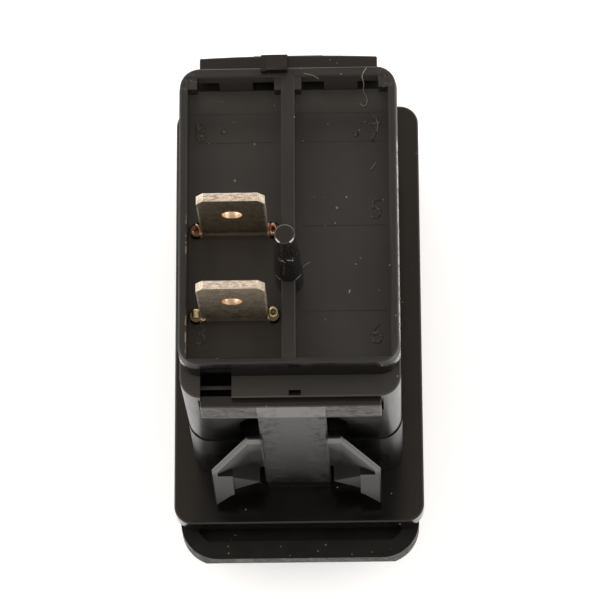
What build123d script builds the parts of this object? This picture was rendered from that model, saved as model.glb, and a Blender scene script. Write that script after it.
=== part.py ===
from build123d import *
import os
from math import cos, radians, sin, tan

# Panel rocker switch, in millimetres.
# Origin: centre of the flange's back face, the face that seats on the panel.
# +Z points to the terminals, X runs across the switch and Y along it.
# The model stands in the pose with the rocker's -Y end pressed in.

# How far a cutting body reaches past the faces it cuts
margin = 1.0

# Bracket flange
flange_width = 25.1
flange_length = 44.4
flange_thickness = 2.9
flange_corner = 1.9
flange_front_edge = 0.6
flange_back_edge = 0.15

# Bracket tube, which stands in the panel cut-out
tube_root_width = 20.95
tube_root_length = 34.2
tube_height = 10.6
tube_step = 0.1
tube_corner = 2.2
seal_shelf_height = 7.0
shelf_overhang = 0.4
mouth_corner = 1.0

# Terminal housing
housing_width = 20.72
housing_length = 32.8
housing_corner = 2.2
housing_wall = 1.3
chamber_end_wall = 2.8
floor_height = 26.0
floor_thickness = 2.6
spigot_wall = 0.95
spigot_depth = 2.4
spigot_gap = 0.08
pole_wall = 1.2
pole_wall_depth = 9.0
chamber_corner = 0.8
wall_root = 0.5

# Well rim
well_depth = 3.85
rim_top_end = 15.12
rim_bottom_end = -14.33
rim_corner = 2.0
rim_edge = 0.12
rim_lean = 0.14
rim_lean_height = 1.2
seam_edge = 0.12
rim_side_wall = 0.85
rim_top_wall = 1.03
rim_bottom_wall = 0.68
divider_width = 1.3
catch_height = 1.5
boss_length = 1.15
boss_width = 0.9
divider_lump_length = 1.3
divider_lump_width = 2.55
latch_window_height = 2.35
latch_window_width = 2.06
latch_window_inset = 0.06
latch_window_reach = 0.2

# Keying post on the divider
post_place = -5.02
post_root_diameter = 2.7
post_shoulder_diameter = 2.3
post_neck_diameter = 2.1
post_tip_diameter = 1.9
post_shoulder_rise = 6.2
post_rise = 10.0
post_tip_chamfer = 0.12

# Ledge details at the -Y end
ledge_slot_inner = 5.48
ledge_slot_width = 2.94
ledge_slot_depth = 3.2
ledge_slot_rib = 0.35
ledge_rib_drop = 1.0
ledge_notch_width = 1.15
ledge_notch_length = 0.5
ledge_notch_centre = 0.43
ledge_notch_inset = 0.15
ledge_notch_depth = 1.0

# Terminal rows and columns
row_pitch = 8.45
column_place = 5.17
blank_slot_depth = 0.04
floor_groove_place = 11.66
floor_groove_width = 0.12

# Quick-connect tabs, 6.35 x 0.8
tab_width = 6.35
tab_thickness = 0.8
tab_rise = 9.85
tab_hole_drop = 4.05
tab_hole_diameter = 1.9
tab_corner_in = 0.7
tab_corner_down = 1.0
tab_edge = 0.12
shoulder_width = 8.05
shoulder_rise = 0.62
shoulder_swell = 0.3
bead_rise = 0.25
stake_dimple = 0.42
dimple_depth = 0.35
neck_width = 7.4
inner_flange_width = 8.4
slot_gap = 0.05
slot_recess_width = 8.7
slot_recess_span = 1.7
slot_recess_depth = 0.3

# Contact mechanism
fulcrum_drop = 2.7
fulcrum_width = 3.5
prong_width = 0.6
prong_length = 1.1
foot_margin = 1.85
foot_width = 5.6
contact_inset = 1.9
contact_diameter = 3.0
contact_thickness = 0.6
rivet_shank = 1.5
rivet_chamfer = 0.15
shank_gap = 0.02
blade_thickness = 0.8
blade_width = 4.6
blade_long_end_gap = 1.3
blade_short_end_gap = 3.0
blade_waist_gap = 0.1
blade_waist_length = 1.8
blade_tilt = 3.5
fulcrum_gap = 0.06
contact_gap = 0.05
stop_rib_lap = 1.2
stop_rib_width = 1.6
stop_gap = 0.08

# Rocker, pivot and cap
pivot_height = 2.6
pivot_diameter = 2.0
pivot_gap = 0.05
pin_chamfer = 0.15
rocker_tilt = 7.0
cap_width = 24.1
cap_reach = 25.1
cap_lip = 2.4
cap_middle = 4.2
cap_wall = 1.6
cap_corner = 3.8
cap_front_edge = 0.5
cap_flange_gap = 0.3
cap_fit_gap = 0.05
stem_side_gap = 0.4
stem_plate_length = 24.0
stem_plate_thickness = 1.7
stem_block_length = 7.6
stem_block_height = 2.2
clip_width = 5.0
clip_thickness = 1.1
clip_place = 7.2
clip_hook = 0.4
clip_hook_height = 0.9
clip_gap = 0.1

# Plunger and spring
plunger_diameter = 3.7
plunger_gap = 0.05
plunger_blade_gap = 0.05
spring_room = 4.99
plunger_show = 5.79
bore_floor = 1.8
bore_boss_wall = 0.8
spring_wire = 0.44
spring_wire_sides = 6
spring_diameter = 3.1
spring_turns = 5.0
spring_end_gap = 0.35

# Snap legs at both ends
strap_width = 6.5
strap_root_place = 18.3
strap_top_inset = 0.02
strap_head_rise = 0.22
strap_head_drop = 2.9
strap_head_return = 0.4
strap_thickness = 1.25
strap_edge = 0.1
bar_width = 17.0
bar_outer_place = 17.12
bottom_bar_bow = 0.05
top_bar_bow = 0.2
bar_seat = 0.5
bar_side_gap = 0.2
bar_height = 3.9
bottom_bar_drop = 1.0
top_bar_rise = 1.6
bar_edge = 0.1
pocket_width = 10.3
pocket_depth = 0.9
pocket_corner_in = 0.85
pocket_corner_down = 1.7
pocket_top_drop = 2.6
pocket_neck_gap = 0.3
wing_overlap = 0.2
wing_reach = 8.27
wing_top_inner = 4.52
wing_top_height = 15.9
wing_knee_height = 8.9
wing_tip_height = 1.33
wing_arch_height = 3.96
wing_root_height = 6.6
wing_top_thickness = 0.4
wing_back_lean = 0.015
wing_edge = 0.12
wing_top_place = 17.8
wing_flare = 0.2
wing_pad_width = 2.0
wing_pad_top = 8.0
wing_rim = 0.55
wing_scoop_place = 18.0
wing_wall = 0.5
wing_ledge_height = 7.5
wing_ledge_fall = 0.53
wing_web_inset = 0.1
wing_web_flare = 0.08
hook_left = -2.5
hook_crown_left = -2.0
hook_right = 0.0
hook_tip_place = 14.45
hook_back_place = 15.9
hook_gap = 0.05
hook_rise = 1.0
hook_step = 0.5
hook_tip_bevel = 0.2
hook_root_depth = 1.0

# Seal between the bracket's shelf and the housing's spigot
seal_thickness = 1.2

# Heights and places that follow from the sizes above
ceiling_height = floor_height - floor_thickness
rim_height = floor_height + well_depth
tube_top_width = housing_width + 2 * tube_step
tube_top_length = housing_length + 2 * tube_step
chamber_width = housing_width - 2 * (housing_wall + spigot_wall)
chamber_length = housing_length - 2 * chamber_end_wall
spigot_width = chamber_width + 2 * spigot_wall
spigot_length = chamber_length + 2 * spigot_wall
spigot_end = tube_height - spigot_depth
mouth_width = spigot_width - 2 * shelf_overhang
mouth_length = spigot_length - 2 * shelf_overhang
fulcrum_height = ceiling_height - fulcrum_drop
blade_long_arm = chamber_length / 2 - blade_long_end_gap
blade_short_arm = chamber_length / 2 - blade_short_end_gap
contact_place = blade_long_arm - contact_inset
stop_rib_place = blade_short_arm - stop_rib_lap
blade_rear = fulcrum_height - fulcrum_gap
blade_front = blade_rear - blade_thickness
blade_waist_width = fulcrum_width - 2 * blade_waist_gap
tab_tip = floor_height + tab_rise
foot_face = ceiling_height - tab_thickness
bottom_bar_top = floor_height - bottom_bar_drop
bottom_bar_underside = bottom_bar_top - bar_height
top_bar_top = floor_height + top_bar_rise
top_bar_underside = top_bar_top - bar_height
bar_inner_place = housing_length / 2 - bar_seat
strap_top_place = bar_outer_place - strap_top_inset
apex_height = pivot_height - (pivot_height + flange_thickness + cap_flange_gap) / cos(radians(rocker_tilt))
cap_front_middle = apex_height - cap_middle
stem_width = mouth_width - 2 * stem_side_gap
stem_plate_front = cap_front_middle + cap_wall
stem_plate_back = stem_plate_front + stem_plate_thickness
plunger_tip = blade_front - plunger_blade_gap
bore_diameter = plunger_diameter + 2 * plunger_gap
boss_diameter = bore_diameter + 2 * bore_boss_wall
bore_bottom = pivot_height + bore_floor
plunger_bottom = bore_bottom + spring_room
boss_top = plunger_tip - plunger_show


def block(x0, x1, y0, y1, z0, z1):
    """Box between two opposite corners."""
    centre = Pos((x0 + x1) / 2, (y0 + y1) / 2, (z0 + z1) / 2)
    return centre * Box(abs(x1 - x0), abs(y1 - y0), abs(z1 - z0))


def rounded_block(width, y0, y1, z0, z1, radius):
    """Upright block with rounded plan corners, centred on X."""
    plan = Pos(0, (y0 + y1) / 2, z0) * RectangleRounded(width, y1 - y0, radius)
    return extrude(plan, z1 - z0, dir=(0, 0, 1))


def side_profile(points, x0, x1):
    """Prism along X over a closed outline of (y, z) points."""
    outline = make_face(Polyline([(x0, y, z) for y, z in points], close=True))
    return extrude(outline, x1 - x0, dir=(1, 0, 0))


def end_profile(points, y0, y1):
    """Prism along Y over a closed outline of (x, z) points."""
    outline = make_face(Polyline([(x, y0, z) for x, z in points], close=True))
    return extrude(outline, y1 - y0, dir=(0, 1, 0))


def cylinder_z(diameter, x, y, z0, z1):
    """Upright cylinder between two heights."""
    return Pos(x, y, (z0 + z1) / 2) * Cylinder(diameter / 2, z1 - z0)


def cylinder_x(diameter, y, z, x0, x1):
    """Cylinder along X between two places."""
    return Pos((x0 + x1) / 2, y, z) * Rot(0, 90, 0) * Cylinder(diameter / 2, x1 - x0)


def turned(part, y, z, angle):
    """Part turned by an angle about the line along X through (y, z)."""
    return Pos(0, y, z) * Rot(angle, 0, 0) * Pos(0, -y, -z) * part


def strap_face(z):
    """Place of the strap's outer face at a height, on the -Y side."""
    run = bottom_bar_underside
    return -strap_root_place + (strap_root_place - strap_top_place) * z / run


def wing_face(z):
    """Place of the wing's outer face at a height, on the -Y side."""
    return -wing_top_place - wing_flare * (wing_top_height - z)


def wing_back(z):
    """Place of the wing's inner face at a height, on the -Y side."""
    return wing_top_thickness - wing_top_place - wing_back_lean * (wing_top_height - z)


def wing():
    """One snap wing, on the +X side of the -Y strap: a wedge scooped out in front."""
    root = strap_width / 2 - wing_overlap
    pad_inner = wing_reach - wing_pad_width
    outline = [
        (root, wing_top_height),
        (wing_top_inner, wing_top_height),
        (wing_reach, wing_knee_height),
        (wing_reach, wing_tip_height),
        (pad_inner, wing_arch_height),
        (root, wing_root_height),
    ]
    low = wing_tip_height - margin
    deep = wing_face(low) - margin
    shallow = -housing_length / 2
    wedge = [
        (wing_face(low), low),
        (wing_face(wing_top_height), wing_top_height),
        (wing_back(wing_top_height), wing_top_height),
        (wing_back(low), low),
    ]
    plate = end_profile(outline, deep, shallow) & side_profile(wedge, 0, wing_reach + margin)
    outer_face = plate.faces().sort_by(lambda face: face.normal_at().Y)[0]
    mid = (root + wing_reach) / 2
    plate = chamfer([edge for edge in outer_face.edges() if edge.center().X > mid], wing_edge)
    return plate - wing_scoop(pad_inner, deep) - wing_web(pad_inner, low, deep) - wing_hollow(low)


def scoop_flank():
    """Inner and outer end, in plan, of the scoop's flank beside the rim."""
    inner_top = wing_top_height - (wing_scoop_place - wing_top_place) / wing_flare
    slant = (wing_reach - wing_top_inner) / (wing_top_height - wing_knee_height)
    rim_end = wing_reach - wing_rim
    rim_start = wing_top_inner - wing_rim + slant * (wing_top_height - inner_top)
    return rim_start, rim_end


def wing_hollow(low):
    """Hollow behind a wing, whose wall keeps one thickness along the scoop's flank."""
    rim_start, rim_end = scoop_flank()
    slope = (wing_face(wing_knee_height) + wing_scoop_place) / (rim_end - rim_start)
    start = strap_width / 2
    end = wing_reach + margin
    start_place = wing_wall - wing_scoop_place + slope * (start - rim_start)
    end_place = wing_wall - wing_scoop_place + slope * (end - rim_start)
    plan = Polyline([(start, start_place), (end, end_place), (end, start_place)], close=True)
    column = extrude(make_face(plan), wing_top_height + margin - low, dir=(0, 0, 1))
    return Pos(0, 0, low) * column


def wing_scoop(pad_inner, deep):
    """Upright hollow in a wing's outer face, which leaves a rim along the slanted edge."""
    rim_start, rim_end = scoop_flank()
    plan = [
        (0, -wing_scoop_place),
        (rim_start, -wing_scoop_place),
        (rim_end, wing_face(wing_knee_height)),
        (rim_end, deep),
        (0, deep),
    ]
    above = wing_top_height + margin
    column = extrude(make_face(Polyline([(x, y, 0) for x, y in plan], close=True)), above, dir=(0, 0, 1))
    outline = [
        (0, wing_ledge_height - wing_ledge_fall * pad_inner),
        (pad_inner, wing_ledge_height),
        (pad_inner, wing_pad_top),
        (wing_reach, wing_pad_top),
        (wing_reach, above),
        (0, above),
    ]
    return column & end_profile(outline, deep, 0)


def wing_web(pad_inner, low, deep):
    """Step between a wing's pad and the steeper web beside it."""
    top = wing_face(wing_ledge_height) + wing_web_inset
    section = [
        (deep, low),
        (top - wing_web_flare * (wing_ledge_height - low), low),
        (top, wing_ledge_height),
        (top, wing_pad_top),
        (deep, wing_pad_top),
    ]
    return side_profile(section, 0, pad_inner)


def bar(top, underside, inner, bow):
    """Cross bar of a snap leg at the -Y end, gently bowed outwards in plan."""
    half = bar_width / 2
    middle = (0, -bar_outer_place, underside)
    left = (-half, bow - bar_outer_place, underside)
    right = (half, bow - bar_outer_place, underside)
    front = ThreePointArc(left, middle, right)
    back = Polyline(right, (half, -inner, underside), (-half, -inner, underside), left)
    beam = extrude(make_face([front, back]), top - underside, dir=(0, 0, 1))
    return chamfer(beam.edges(), bar_edge)


def snap_leg(cross_bar, bar_underside):
    """Strap and two wings at the -Y end, joined to their cross bar."""
    half = strap_width / 2
    section = [
        (strap_face(0), -tube_step),
        (strap_face(0), 0),
        (strap_face(bar_underside), bar_underside + tube_step),
        (strap_face(bar_underside) + strap_thickness, bar_underside + tube_step),
        (strap_face(0) + strap_thickness, 0),
        (strap_face(0) + strap_thickness, -tube_step),
    ]
    strap = side_profile(section, -half, half)
    strap = chamfer(strap.edges().group_by(SortBy.LENGTH)[-1], strap_edge)
    bar_top = bar_underside + bar_height - bar_edge
    head = [
        (strap_thickness / 2 - bar_outer_place, bar_top),
        (-bar_outer_place, bar_top),
        (-bar_outer_place - strap_head_rise, bar_top - strap_head_drop),
        (-bar_outer_place, bar_top - strap_head_drop - strap_head_return),
        (strap_thickness / 2 - bar_outer_place, bar_top - strap_head_drop - strap_head_return),
    ]
    strap = strap + side_profile(head, -half, half)
    right = wing()
    left = mirror(right, about=Plane.YZ)
    return strap + right + left + cross_bar


def leg_pocket(bar_underside):
    """Space behind a -Y strap, which lets it flex towards the housing."""
    half = pocket_width / 2
    top = bottom_bar_underside - pocket_top_drop
    neck = strap_width / 2 + pocket_neck_gap
    outline = [
        (-half, 0),
        (half, 0),
        (half, top - pocket_corner_down),
        (half - pocket_corner_in, top),
        (neck, top),
        (neck, bar_underside + tube_step),
        (-neck, bar_underside + tube_step),
        (-neck, top),
        (-half + pocket_corner_in, top),
        (-half, top - pocket_corner_down),
    ]
    return end_profile(outline, -tube_root_length, -housing_length / 2 + pocket_depth)


def make_mounting_bracket():
    end = flange_length / 2
    flange = rounded_block(flange_width, -end, end, -flange_thickness, 0, flange_corner)
    flange = fillet(flange.edges().group_by(Axis.Z)[0], flange_front_edge)
    flange = chamfer(flange.edges().group_by(Axis.Z)[-1], flange_back_edge)
    root = RectangleRounded(tube_root_width, tube_root_length, tube_corner)
    top = RectangleRounded(tube_top_width, tube_top_length, tube_corner)
    tube = loft([root, Pos(0, 0, tube_height) * top])
    tube = tube - leg_pocket(bottom_bar_underside) - mirror(leg_pocket(top_bar_underside), about=Plane.XZ)
    shell = flange + tube
    half_mouth = mouth_length / 2
    half_spigot = spigot_length / 2 + spigot_gap
    front = -flange_thickness - margin
    mouth = rounded_block(mouth_width, -half_mouth, half_mouth, front, tube_height, mouth_corner)
    socket_width = spigot_width + 2 * spigot_gap
    socket_top = tube_height + margin
    socket = rounded_block(
        socket_width, -half_spigot, half_spigot, seal_shelf_height, socket_top, mouth_corner
    )
    shell = shell - mouth - socket
    bottom_bar = bar(bottom_bar_top, bottom_bar_underside, bar_inner_place, bottom_bar_bow)
    top_bar = bar(top_bar_top, top_bar_underside, rim_top_end + hook_gap, top_bar_bow)
    bottom_leg = snap_leg(bottom_bar, bottom_bar_underside)
    top_leg = mirror(snap_leg(top_bar, top_bar_underside), about=Plane.XZ)
    pin_hole = cylinder_x(pivot_diameter, 0, pivot_height, -tube_root_width, tube_root_width)
    return shell + bottom_leg + top_leg + latch_hook() - pin_hole


def latch_hook():
    """Stepped hook on the +Y bar, which laps over the well rim."""
    tip_height = rim_height + hook_gap
    crown = tip_height + hook_rise
    step = crown - hook_step
    inner = rim_top_end + hook_gap
    root = top_bar_top - hook_root_depth
    slope = (bar_outer_place - hook_back_place) / (crown - top_bar_top)
    step_back = hook_back_place + slope * hook_step
    neck = [
        (bar_outer_place, top_bar_top),
        (bar_outer_place, root),
        (inner, root),
        (inner, tip_height),
    ]
    crown_outline = [
        (hook_tip_place, tip_height),
        (hook_tip_place, crown - hook_tip_bevel),
        (hook_tip_place + hook_tip_bevel, crown),
        (hook_back_place, crown),
    ]
    step_outline = [
        (hook_tip_place, tip_height),
        (hook_tip_place, step),
        (step_back, step),
    ]
    hook = side_profile(crown_outline + neck, hook_crown_left, hook_right)
    return hook + side_profile(step_outline + neck, hook_left, hook_crown_left)


def terminal_cut(row):
    """Slot through the floor for one terminal in the left column."""
    x = -column_place
    half = neck_width / 2 + slot_gap
    thick = tab_thickness / 2 + slot_gap
    low = ceiling_height - margin
    slot = block(x - half, x + half, row - thick, row + thick, low, floor_height + margin)
    place = Pos(x, row, floor_height - slot_recess_depth)
    recess_plan = place * SlotOverall(slot_recess_width, slot_recess_span)
    return slot + extrude(recess_plan, slot_recess_depth + margin, dir=(0, 0, 1))


def blank_cut(x, row):
    """Shallow outline where an unused terminal slot stays blank."""
    half = shoulder_width / 2
    thick = tab_thickness / 2
    low = floor_height - blank_slot_depth
    return block(x - half, x + half, row - thick, row + thick, low, floor_height + margin)


def wells():
    """The two connector wells with their corner bosses left standing."""
    y0 = rim_bottom_end + rim_bottom_wall
    y1 = rim_top_end - rim_top_wall
    inner = housing_width / 2 - rim_side_wall
    cut = block(divider_width / 2, inner, y0, y1, floor_height, rim_height + margin)
    corner_boss = side_profile(catch_section(y1, boss_length), inner - boss_width, inner)
    lump = side_profile(catch_section(y1, divider_lump_length), 0, divider_lump_width / 2)
    cut = cut - corner_boss - lump
    width = inner - divider_width / 2
    centre = Pos((inner + divider_width / 2) / 2, (y0 + y1) / 2, 0)
    mouth = centre * Pos(0, 0, rim_height - rim_edge) * Rectangle(width, y1 - y0)
    spread = 4 * rim_edge
    above = centre * Pos(0, 0, rim_height + rim_edge) * Rectangle(width + spread, y1 - y0 + spread)
    cut = cut + loft([mouth, above])
    return cut + mirror(cut, about=Plane.YZ)


def catch_section(wall, length):
    """Side outline of a catch that overhangs the +Y end of a well."""
    low = rim_height - catch_height
    return [
        (wall, rim_height),
        (wall - length, rim_height),
        (wall - length, low),
        (wall, low - length / 2),
    ]


def latch_windows():
    """Openings through the +Y well wall, two in each well."""
    inner = housing_width / 2 - rim_side_wall - boss_width + latch_window_inset
    near = divider_lump_width / 2 + latch_window_inset
    y0 = rim_top_end - rim_top_wall - latch_window_reach
    top = floor_height + latch_window_height
    cuts = []
    for x in (inner - latch_window_width, near):
        hole = block(x, x + latch_window_width, y0, rim_top_end + margin, floor_height, top)
        cuts.append(hole)
        cuts.append(mirror(hole, about=Plane.YZ))
    return cuts


def keying_post():
    """Stepped, tapering post on the divider."""
    shoulder = rim_height + post_shoulder_rise
    tip = rim_height + post_rise
    outline = [
        (0, floor_height),
        (post_root_diameter / 2, floor_height),
        (post_root_diameter / 2, rim_height),
        (post_shoulder_diameter / 2, shoulder),
        (post_neck_diameter / 2, shoulder),
        (post_tip_diameter / 2, tip - post_tip_chamfer),
        (post_tip_diameter / 2 - post_tip_chamfer, tip),
        (0, tip),
    ]
    face = make_face(Polyline([(r, 0, z) for r, z in outline], close=True))
    return Pos(0, post_place, 0) * revolve(face, Axis.Z)


def ledge_cuts():
    """Slot and small notch in the ledge at the -Y end."""
    end = -housing_length / 2
    x0 = -ledge_slot_inner - ledge_slot_width
    rib_place = (rim_bottom_end + end) / 2
    low = floor_height - ledge_slot_depth
    slot = block(x0, -ledge_slot_inner, end - margin, rim_bottom_end, low, floor_height + margin)
    rib_end = rib_place + ledge_slot_rib
    rib = block(x0, -ledge_slot_inner, rib_place, rib_end, low, floor_height - ledge_rib_drop)
    notch_end = end + ledge_notch_inset
    notch = block(
        ledge_notch_centre - ledge_notch_width / 2,
        ledge_notch_centre + ledge_notch_width / 2,
        notch_end,
        notch_end + ledge_notch_length,
        floor_height - ledge_notch_depth,
        floor_height + margin,
    )
    return [slot - rib, notch]


def make_terminal_base():
    end = housing_length / 2
    body = rounded_block(housing_width, -end, end, tube_height, top_bar_underside, housing_corner)
    body = chamfer(body.edges().group_by(Axis.Z)[0], seam_edge)
    neck_low = tube_height + margin
    neck = rounded_block(housing_width, -end, rim_top_end, neck_low, floor_height, rim_corner)
    neck = chamfer(neck.edges().group_by(Axis.Z)[-1], rim_edge)
    lean_start = rim_height - rim_lean_height
    rim = rounded_block(housing_width, rim_bottom_end, rim_top_end, neck_low, lean_start, rim_corner)
    rim_length = rim_top_end - rim_bottom_end
    rim_place = Pos(0, (rim_top_end + rim_bottom_end) / 2, 0)
    foot = RectangleRounded(housing_width, rim_length, rim_corner)
    brow = RectangleRounded(
        housing_width - 2 * rim_lean, rim_length - 2 * rim_lean, rim_corner - rim_lean
    )
    rim = rim + rim_place * loft([Pos(0, 0, lean_start) * foot, Pos(0, 0, rim_height) * brow])
    rim = chamfer(rim.edges().group_by(Axis.Z)[-1], rim_edge)
    spigot_half = spigot_length / 2
    spigot_top = tube_height + margin
    spigot = rounded_block(
        spigot_width, -spigot_half, spigot_half, spigot_end, spigot_top, mouth_corner
    )
    chamber_half = chamber_length / 2
    chamber_low = spigot_end - margin
    chamber = rounded_block(
        chamber_width, -chamber_half, chamber_half, chamber_low, ceiling_height, chamber_corner
    )
    base = body + neck + rim + spigot - chamber - wells()
    base = base + keying_post()
    base = base - latch_windows() - ledge_cuts()
    bar_half = bar_width / 2 + bar_side_gap
    groove_end = -end - margin
    groove = block(
        -bar_half, bar_half, groove_end, -bar_inner_place, bottom_bar_underside, bottom_bar_top
    )
    base = base - groove
    base = base - leg_pocket(bottom_bar_underside) - mirror(leg_pocket(top_bar_underside), about=Plane.XZ)
    half_wall = pole_wall / 2
    reach = chamber_half + wall_root
    root = ceiling_height + wall_root
    wall = block(-half_wall, half_wall, -reach, reach, ceiling_height - pole_wall_depth, root)
    rib_y = stop_rib_place
    rib_bottom = stop_rib_height()
    stop = block(
        -column_place - blade_width / 2,
        -column_place + blade_width / 2,
        rib_y,
        rib_y + stop_rib_width,
        rib_bottom,
        root,
    )
    base = base + wall + stop
    for row in (0, -row_pitch):
        base = base - terminal_cut(row)
    base = base - blank_cut(-column_place, row_pitch)
    for row in (row_pitch, 0, -row_pitch):
        base = base - blank_cut(column_place, row)
    low = floor_height - blank_slot_depth
    near = floor_groove_place
    far = near + floor_groove_width
    inner = housing_width / 2 - rim_side_wall
    for x0, x1 in ((-inner, -divider_width / 2), (divider_width / 2, inner)):
        base = base - block(x0, x1, near, far, low, floor_height + margin)
    return base


def stop_rib_height():
    """Underside of the rib that the blade's short arm rests against."""
    reach = stop_rib_place + stop_rib_width
    return blade_rear + reach * tan(radians(blade_tilt)) + stop_gap


def tab_plate(row):
    """Tab above the housing floor, with clipped corners and its hole."""
    half = tab_width / 2
    outline = [
        (-half, ceiling_height),
        (half, ceiling_height),
        (half, tab_tip - tab_corner_down),
        (half - tab_corner_in, tab_tip),
        (-half + tab_corner_in, tab_tip),
        (-half, tab_tip - tab_corner_down),
    ]
    points = [(x - column_place, z) for x, z in outline]
    plate = end_profile(points, row - tab_thickness / 2, row + tab_thickness / 2)
    plate = chamfer(plate.edges().group_by(Axis.Z)[-1].filter_by(Axis.X), tab_edge)
    drill = Rot(90, 0, 0) * Cylinder(tab_hole_diameter / 2, tab_thickness + 2 * margin)
    return plate - Pos(-column_place, row, tab_tip - tab_hole_drop) * drill


def staked_shoulders(row):
    """Shoulders at the floor, swelled and dimpled where they were staked."""
    x = -column_place
    half = shoulder_width / 2
    thick = tab_thickness / 2
    low = floor_height - slot_recess_depth
    top = floor_height + shoulder_rise
    parts = block(x - half, x + half, row - thick, row + thick, low, top - bead_rise)
    shoulder = (shoulder_width - tab_width) / 2
    for side in (-1, 1):
        centre = x + side * (half - shoulder / 2)
        bead = cylinder_z(shoulder + shoulder_swell, centre, row - shoulder_swell / 2, low, top)
        dimple_place = row - shoulder_swell / 2
        dimple = cylinder_z(stake_dimple, centre, dimple_place, top - dimple_depth, top + margin)
        parts = parts + bead - dimple
    return parts


def terminal_neck(row):
    """Neck through the floor and the flange that stops under it."""
    x = -column_place
    thick = tab_thickness / 2
    side = neck_width / 2
    neck = block(x - side, x + side, row - thick, row + thick, foot_face, floor_height)
    half = inner_flange_width / 2
    inner_edge = min(half, column_place - pole_wall / 2 - slot_gap)
    outer_edge = min(half, chamber_width / 2 - column_place - slot_gap)
    left = x - outer_edge
    right = x + inner_edge
    return neck + block(left, right, row - thick, row + thick, foot_face, ceiling_height)


def make_common_terminal():
    x = -column_place
    thick = tab_thickness / 2
    side = fulcrum_width / 2
    outer = side + prong_width
    leg = block(x - outer, x + outer, -thick, thick, fulcrum_height, foot_face)
    low = fulcrum_height - prong_length
    prongs = block(x - outer, x - side, -thick, thick, low, fulcrum_height)
    prongs = prongs + block(x + side, x + outer, -thick, thick, low, fulcrum_height)
    return tab_plate(0) + staked_shoulders(0) + terminal_neck(0) + leg + prongs


def make_load_terminal():
    x = -column_place
    row = -row_pitch
    thick = tab_thickness / 2
    half = foot_width / 2
    end = -contact_place - foot_margin
    foot = block(x - half, x + half, end, row + thick, foot_face, ceiling_height)
    hole = cylinder_z(rivet_shank, x, -contact_place, foot_face - margin, ceiling_height + margin)
    return tab_plate(row) + staked_shoulders(row) + terminal_neck(row) + (foot - hole)


def make_fixed_contact():
    x = -column_place
    head = cylinder_z(contact_diameter, x, -contact_place, foot_face - contact_thickness, foot_face)
    head = chamfer(head.edges().group_by(Axis.Z)[0], rivet_chamfer)
    return head + cylinder_z(rivet_shank - 2 * shank_gap, x, -contact_place, foot_face, ceiling_height)


def make_contact_blade():
    x = -column_place
    half = blade_width / 2
    waist = blade_waist_width / 2
    notch = blade_waist_length / 2
    centre = (blade_short_arm - blade_long_arm) / 2
    span = blade_short_arm + blade_long_arm
    plan = Pos(x, centre, blade_front) * SlotOverall(span, blade_width, rotation=90)
    blade = extrude(plan, blade_thickness, dir=(0, 0, 1))
    low = blade_front - margin
    high = blade_rear + margin
    for side in (-1, 1):
        outside = x + side * (half + margin)
        blade = blade - block(x + side * waist, outside, -notch, notch, low, high)
    blade = blade - cylinder_z(rivet_shank, x, -contact_place, low, high)
    return turned(blade, 0, fulcrum_height, blade_tilt)


def make_moving_contact():
    x = -column_place
    edge_reach = contact_place + contact_diameter / 2
    travel = edge_reach * sin(radians(blade_tilt))
    face = foot_face - contact_thickness - contact_gap - travel
    head = cylinder_z(contact_diameter, x, -contact_place, blade_rear, face)
    head = chamfer(head.edges().group_by(Axis.Z)[-1], rivet_chamfer)
    contact = head + cylinder_z(rivet_shank - 2 * shank_gap, x, -contact_place, blade_front, blade_rear)
    return turned(contact, 0, fulcrum_height, blade_tilt)


def make_plunger():
    x = -column_place
    radius = plunger_diameter / 2
    shank = cylinder_z(plunger_diameter, x, 0, plunger_bottom, plunger_tip - radius)
    nose = Pos(x, 0, plunger_tip - radius) * Sphere(radius)
    keep = block(x - radius, x + radius, -radius, radius, plunger_bottom, plunger_tip)
    return turned((shank + nose) & keep, 0, pivot_height, -rocker_tilt)


def make_plunger_spring():
    free = plunger_bottom - spring_end_gap - bore_bottom
    height = free - spring_wire
    radius = (spring_diameter - spring_wire) / 2
    path = Helix(pitch=height / spring_turns, height=height, radius=radius)
    start = Plane(origin=path @ 0, z_dir=path % 0)
    coil = sweep(start * RegularPolygon(spring_wire / 2, spring_wire_sides), path=path)
    coil = Pos(-column_place, 0, bore_bottom + spring_wire / 2) * coil
    return turned(coil, 0, pivot_height, -rocker_tilt)


def make_rocker_stem():
    half_width = stem_width / 2
    half_plate = stem_plate_length / 2
    plate = block(-half_width, half_width, -half_plate, half_plate, stem_plate_front, stem_plate_back)
    half_block = stem_block_length / 2
    top = pivot_height + stem_block_height
    core = block(-half_width, half_width, -half_block, half_block, stem_plate_back, pivot_height)
    round_top = cylinder_x(2 * stem_block_height, 0, pivot_height, -half_width, half_width)
    core = core + (round_top & block(-half_width, half_width, -half_block, half_block, pivot_height, top))
    stem = plate + core
    for x in (-column_place, column_place):
        stem = stem + cylinder_z(boss_diameter, x, 0, pivot_height, boss_top)
    for x in (-column_place, column_place):
        stem = stem - cylinder_z(bore_diameter, x, 0, bore_bottom, boss_top + margin)
    pin_bore = pivot_diameter + 2 * pivot_gap
    stem = stem - cylinder_x(pin_bore, 0, pivot_height, -half_width - margin, half_width + margin)
    for y0, y1 in clip_slots():
        reach = clip_width / 2 + clip_gap
        low = stem_plate_front - margin
        stem = stem - block(-reach, reach, y0, y1, low, stem_plate_back + margin)
    return turned(stem, 0, pivot_height, -rocker_tilt)


def clip_slots():
    """Slots in the stem plate for the cap's two clips, as spans along Y."""
    near = clip_place - clip_gap
    far = clip_place + clip_thickness + clip_gap
    return [(near, far), (-far, -near)]


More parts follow.
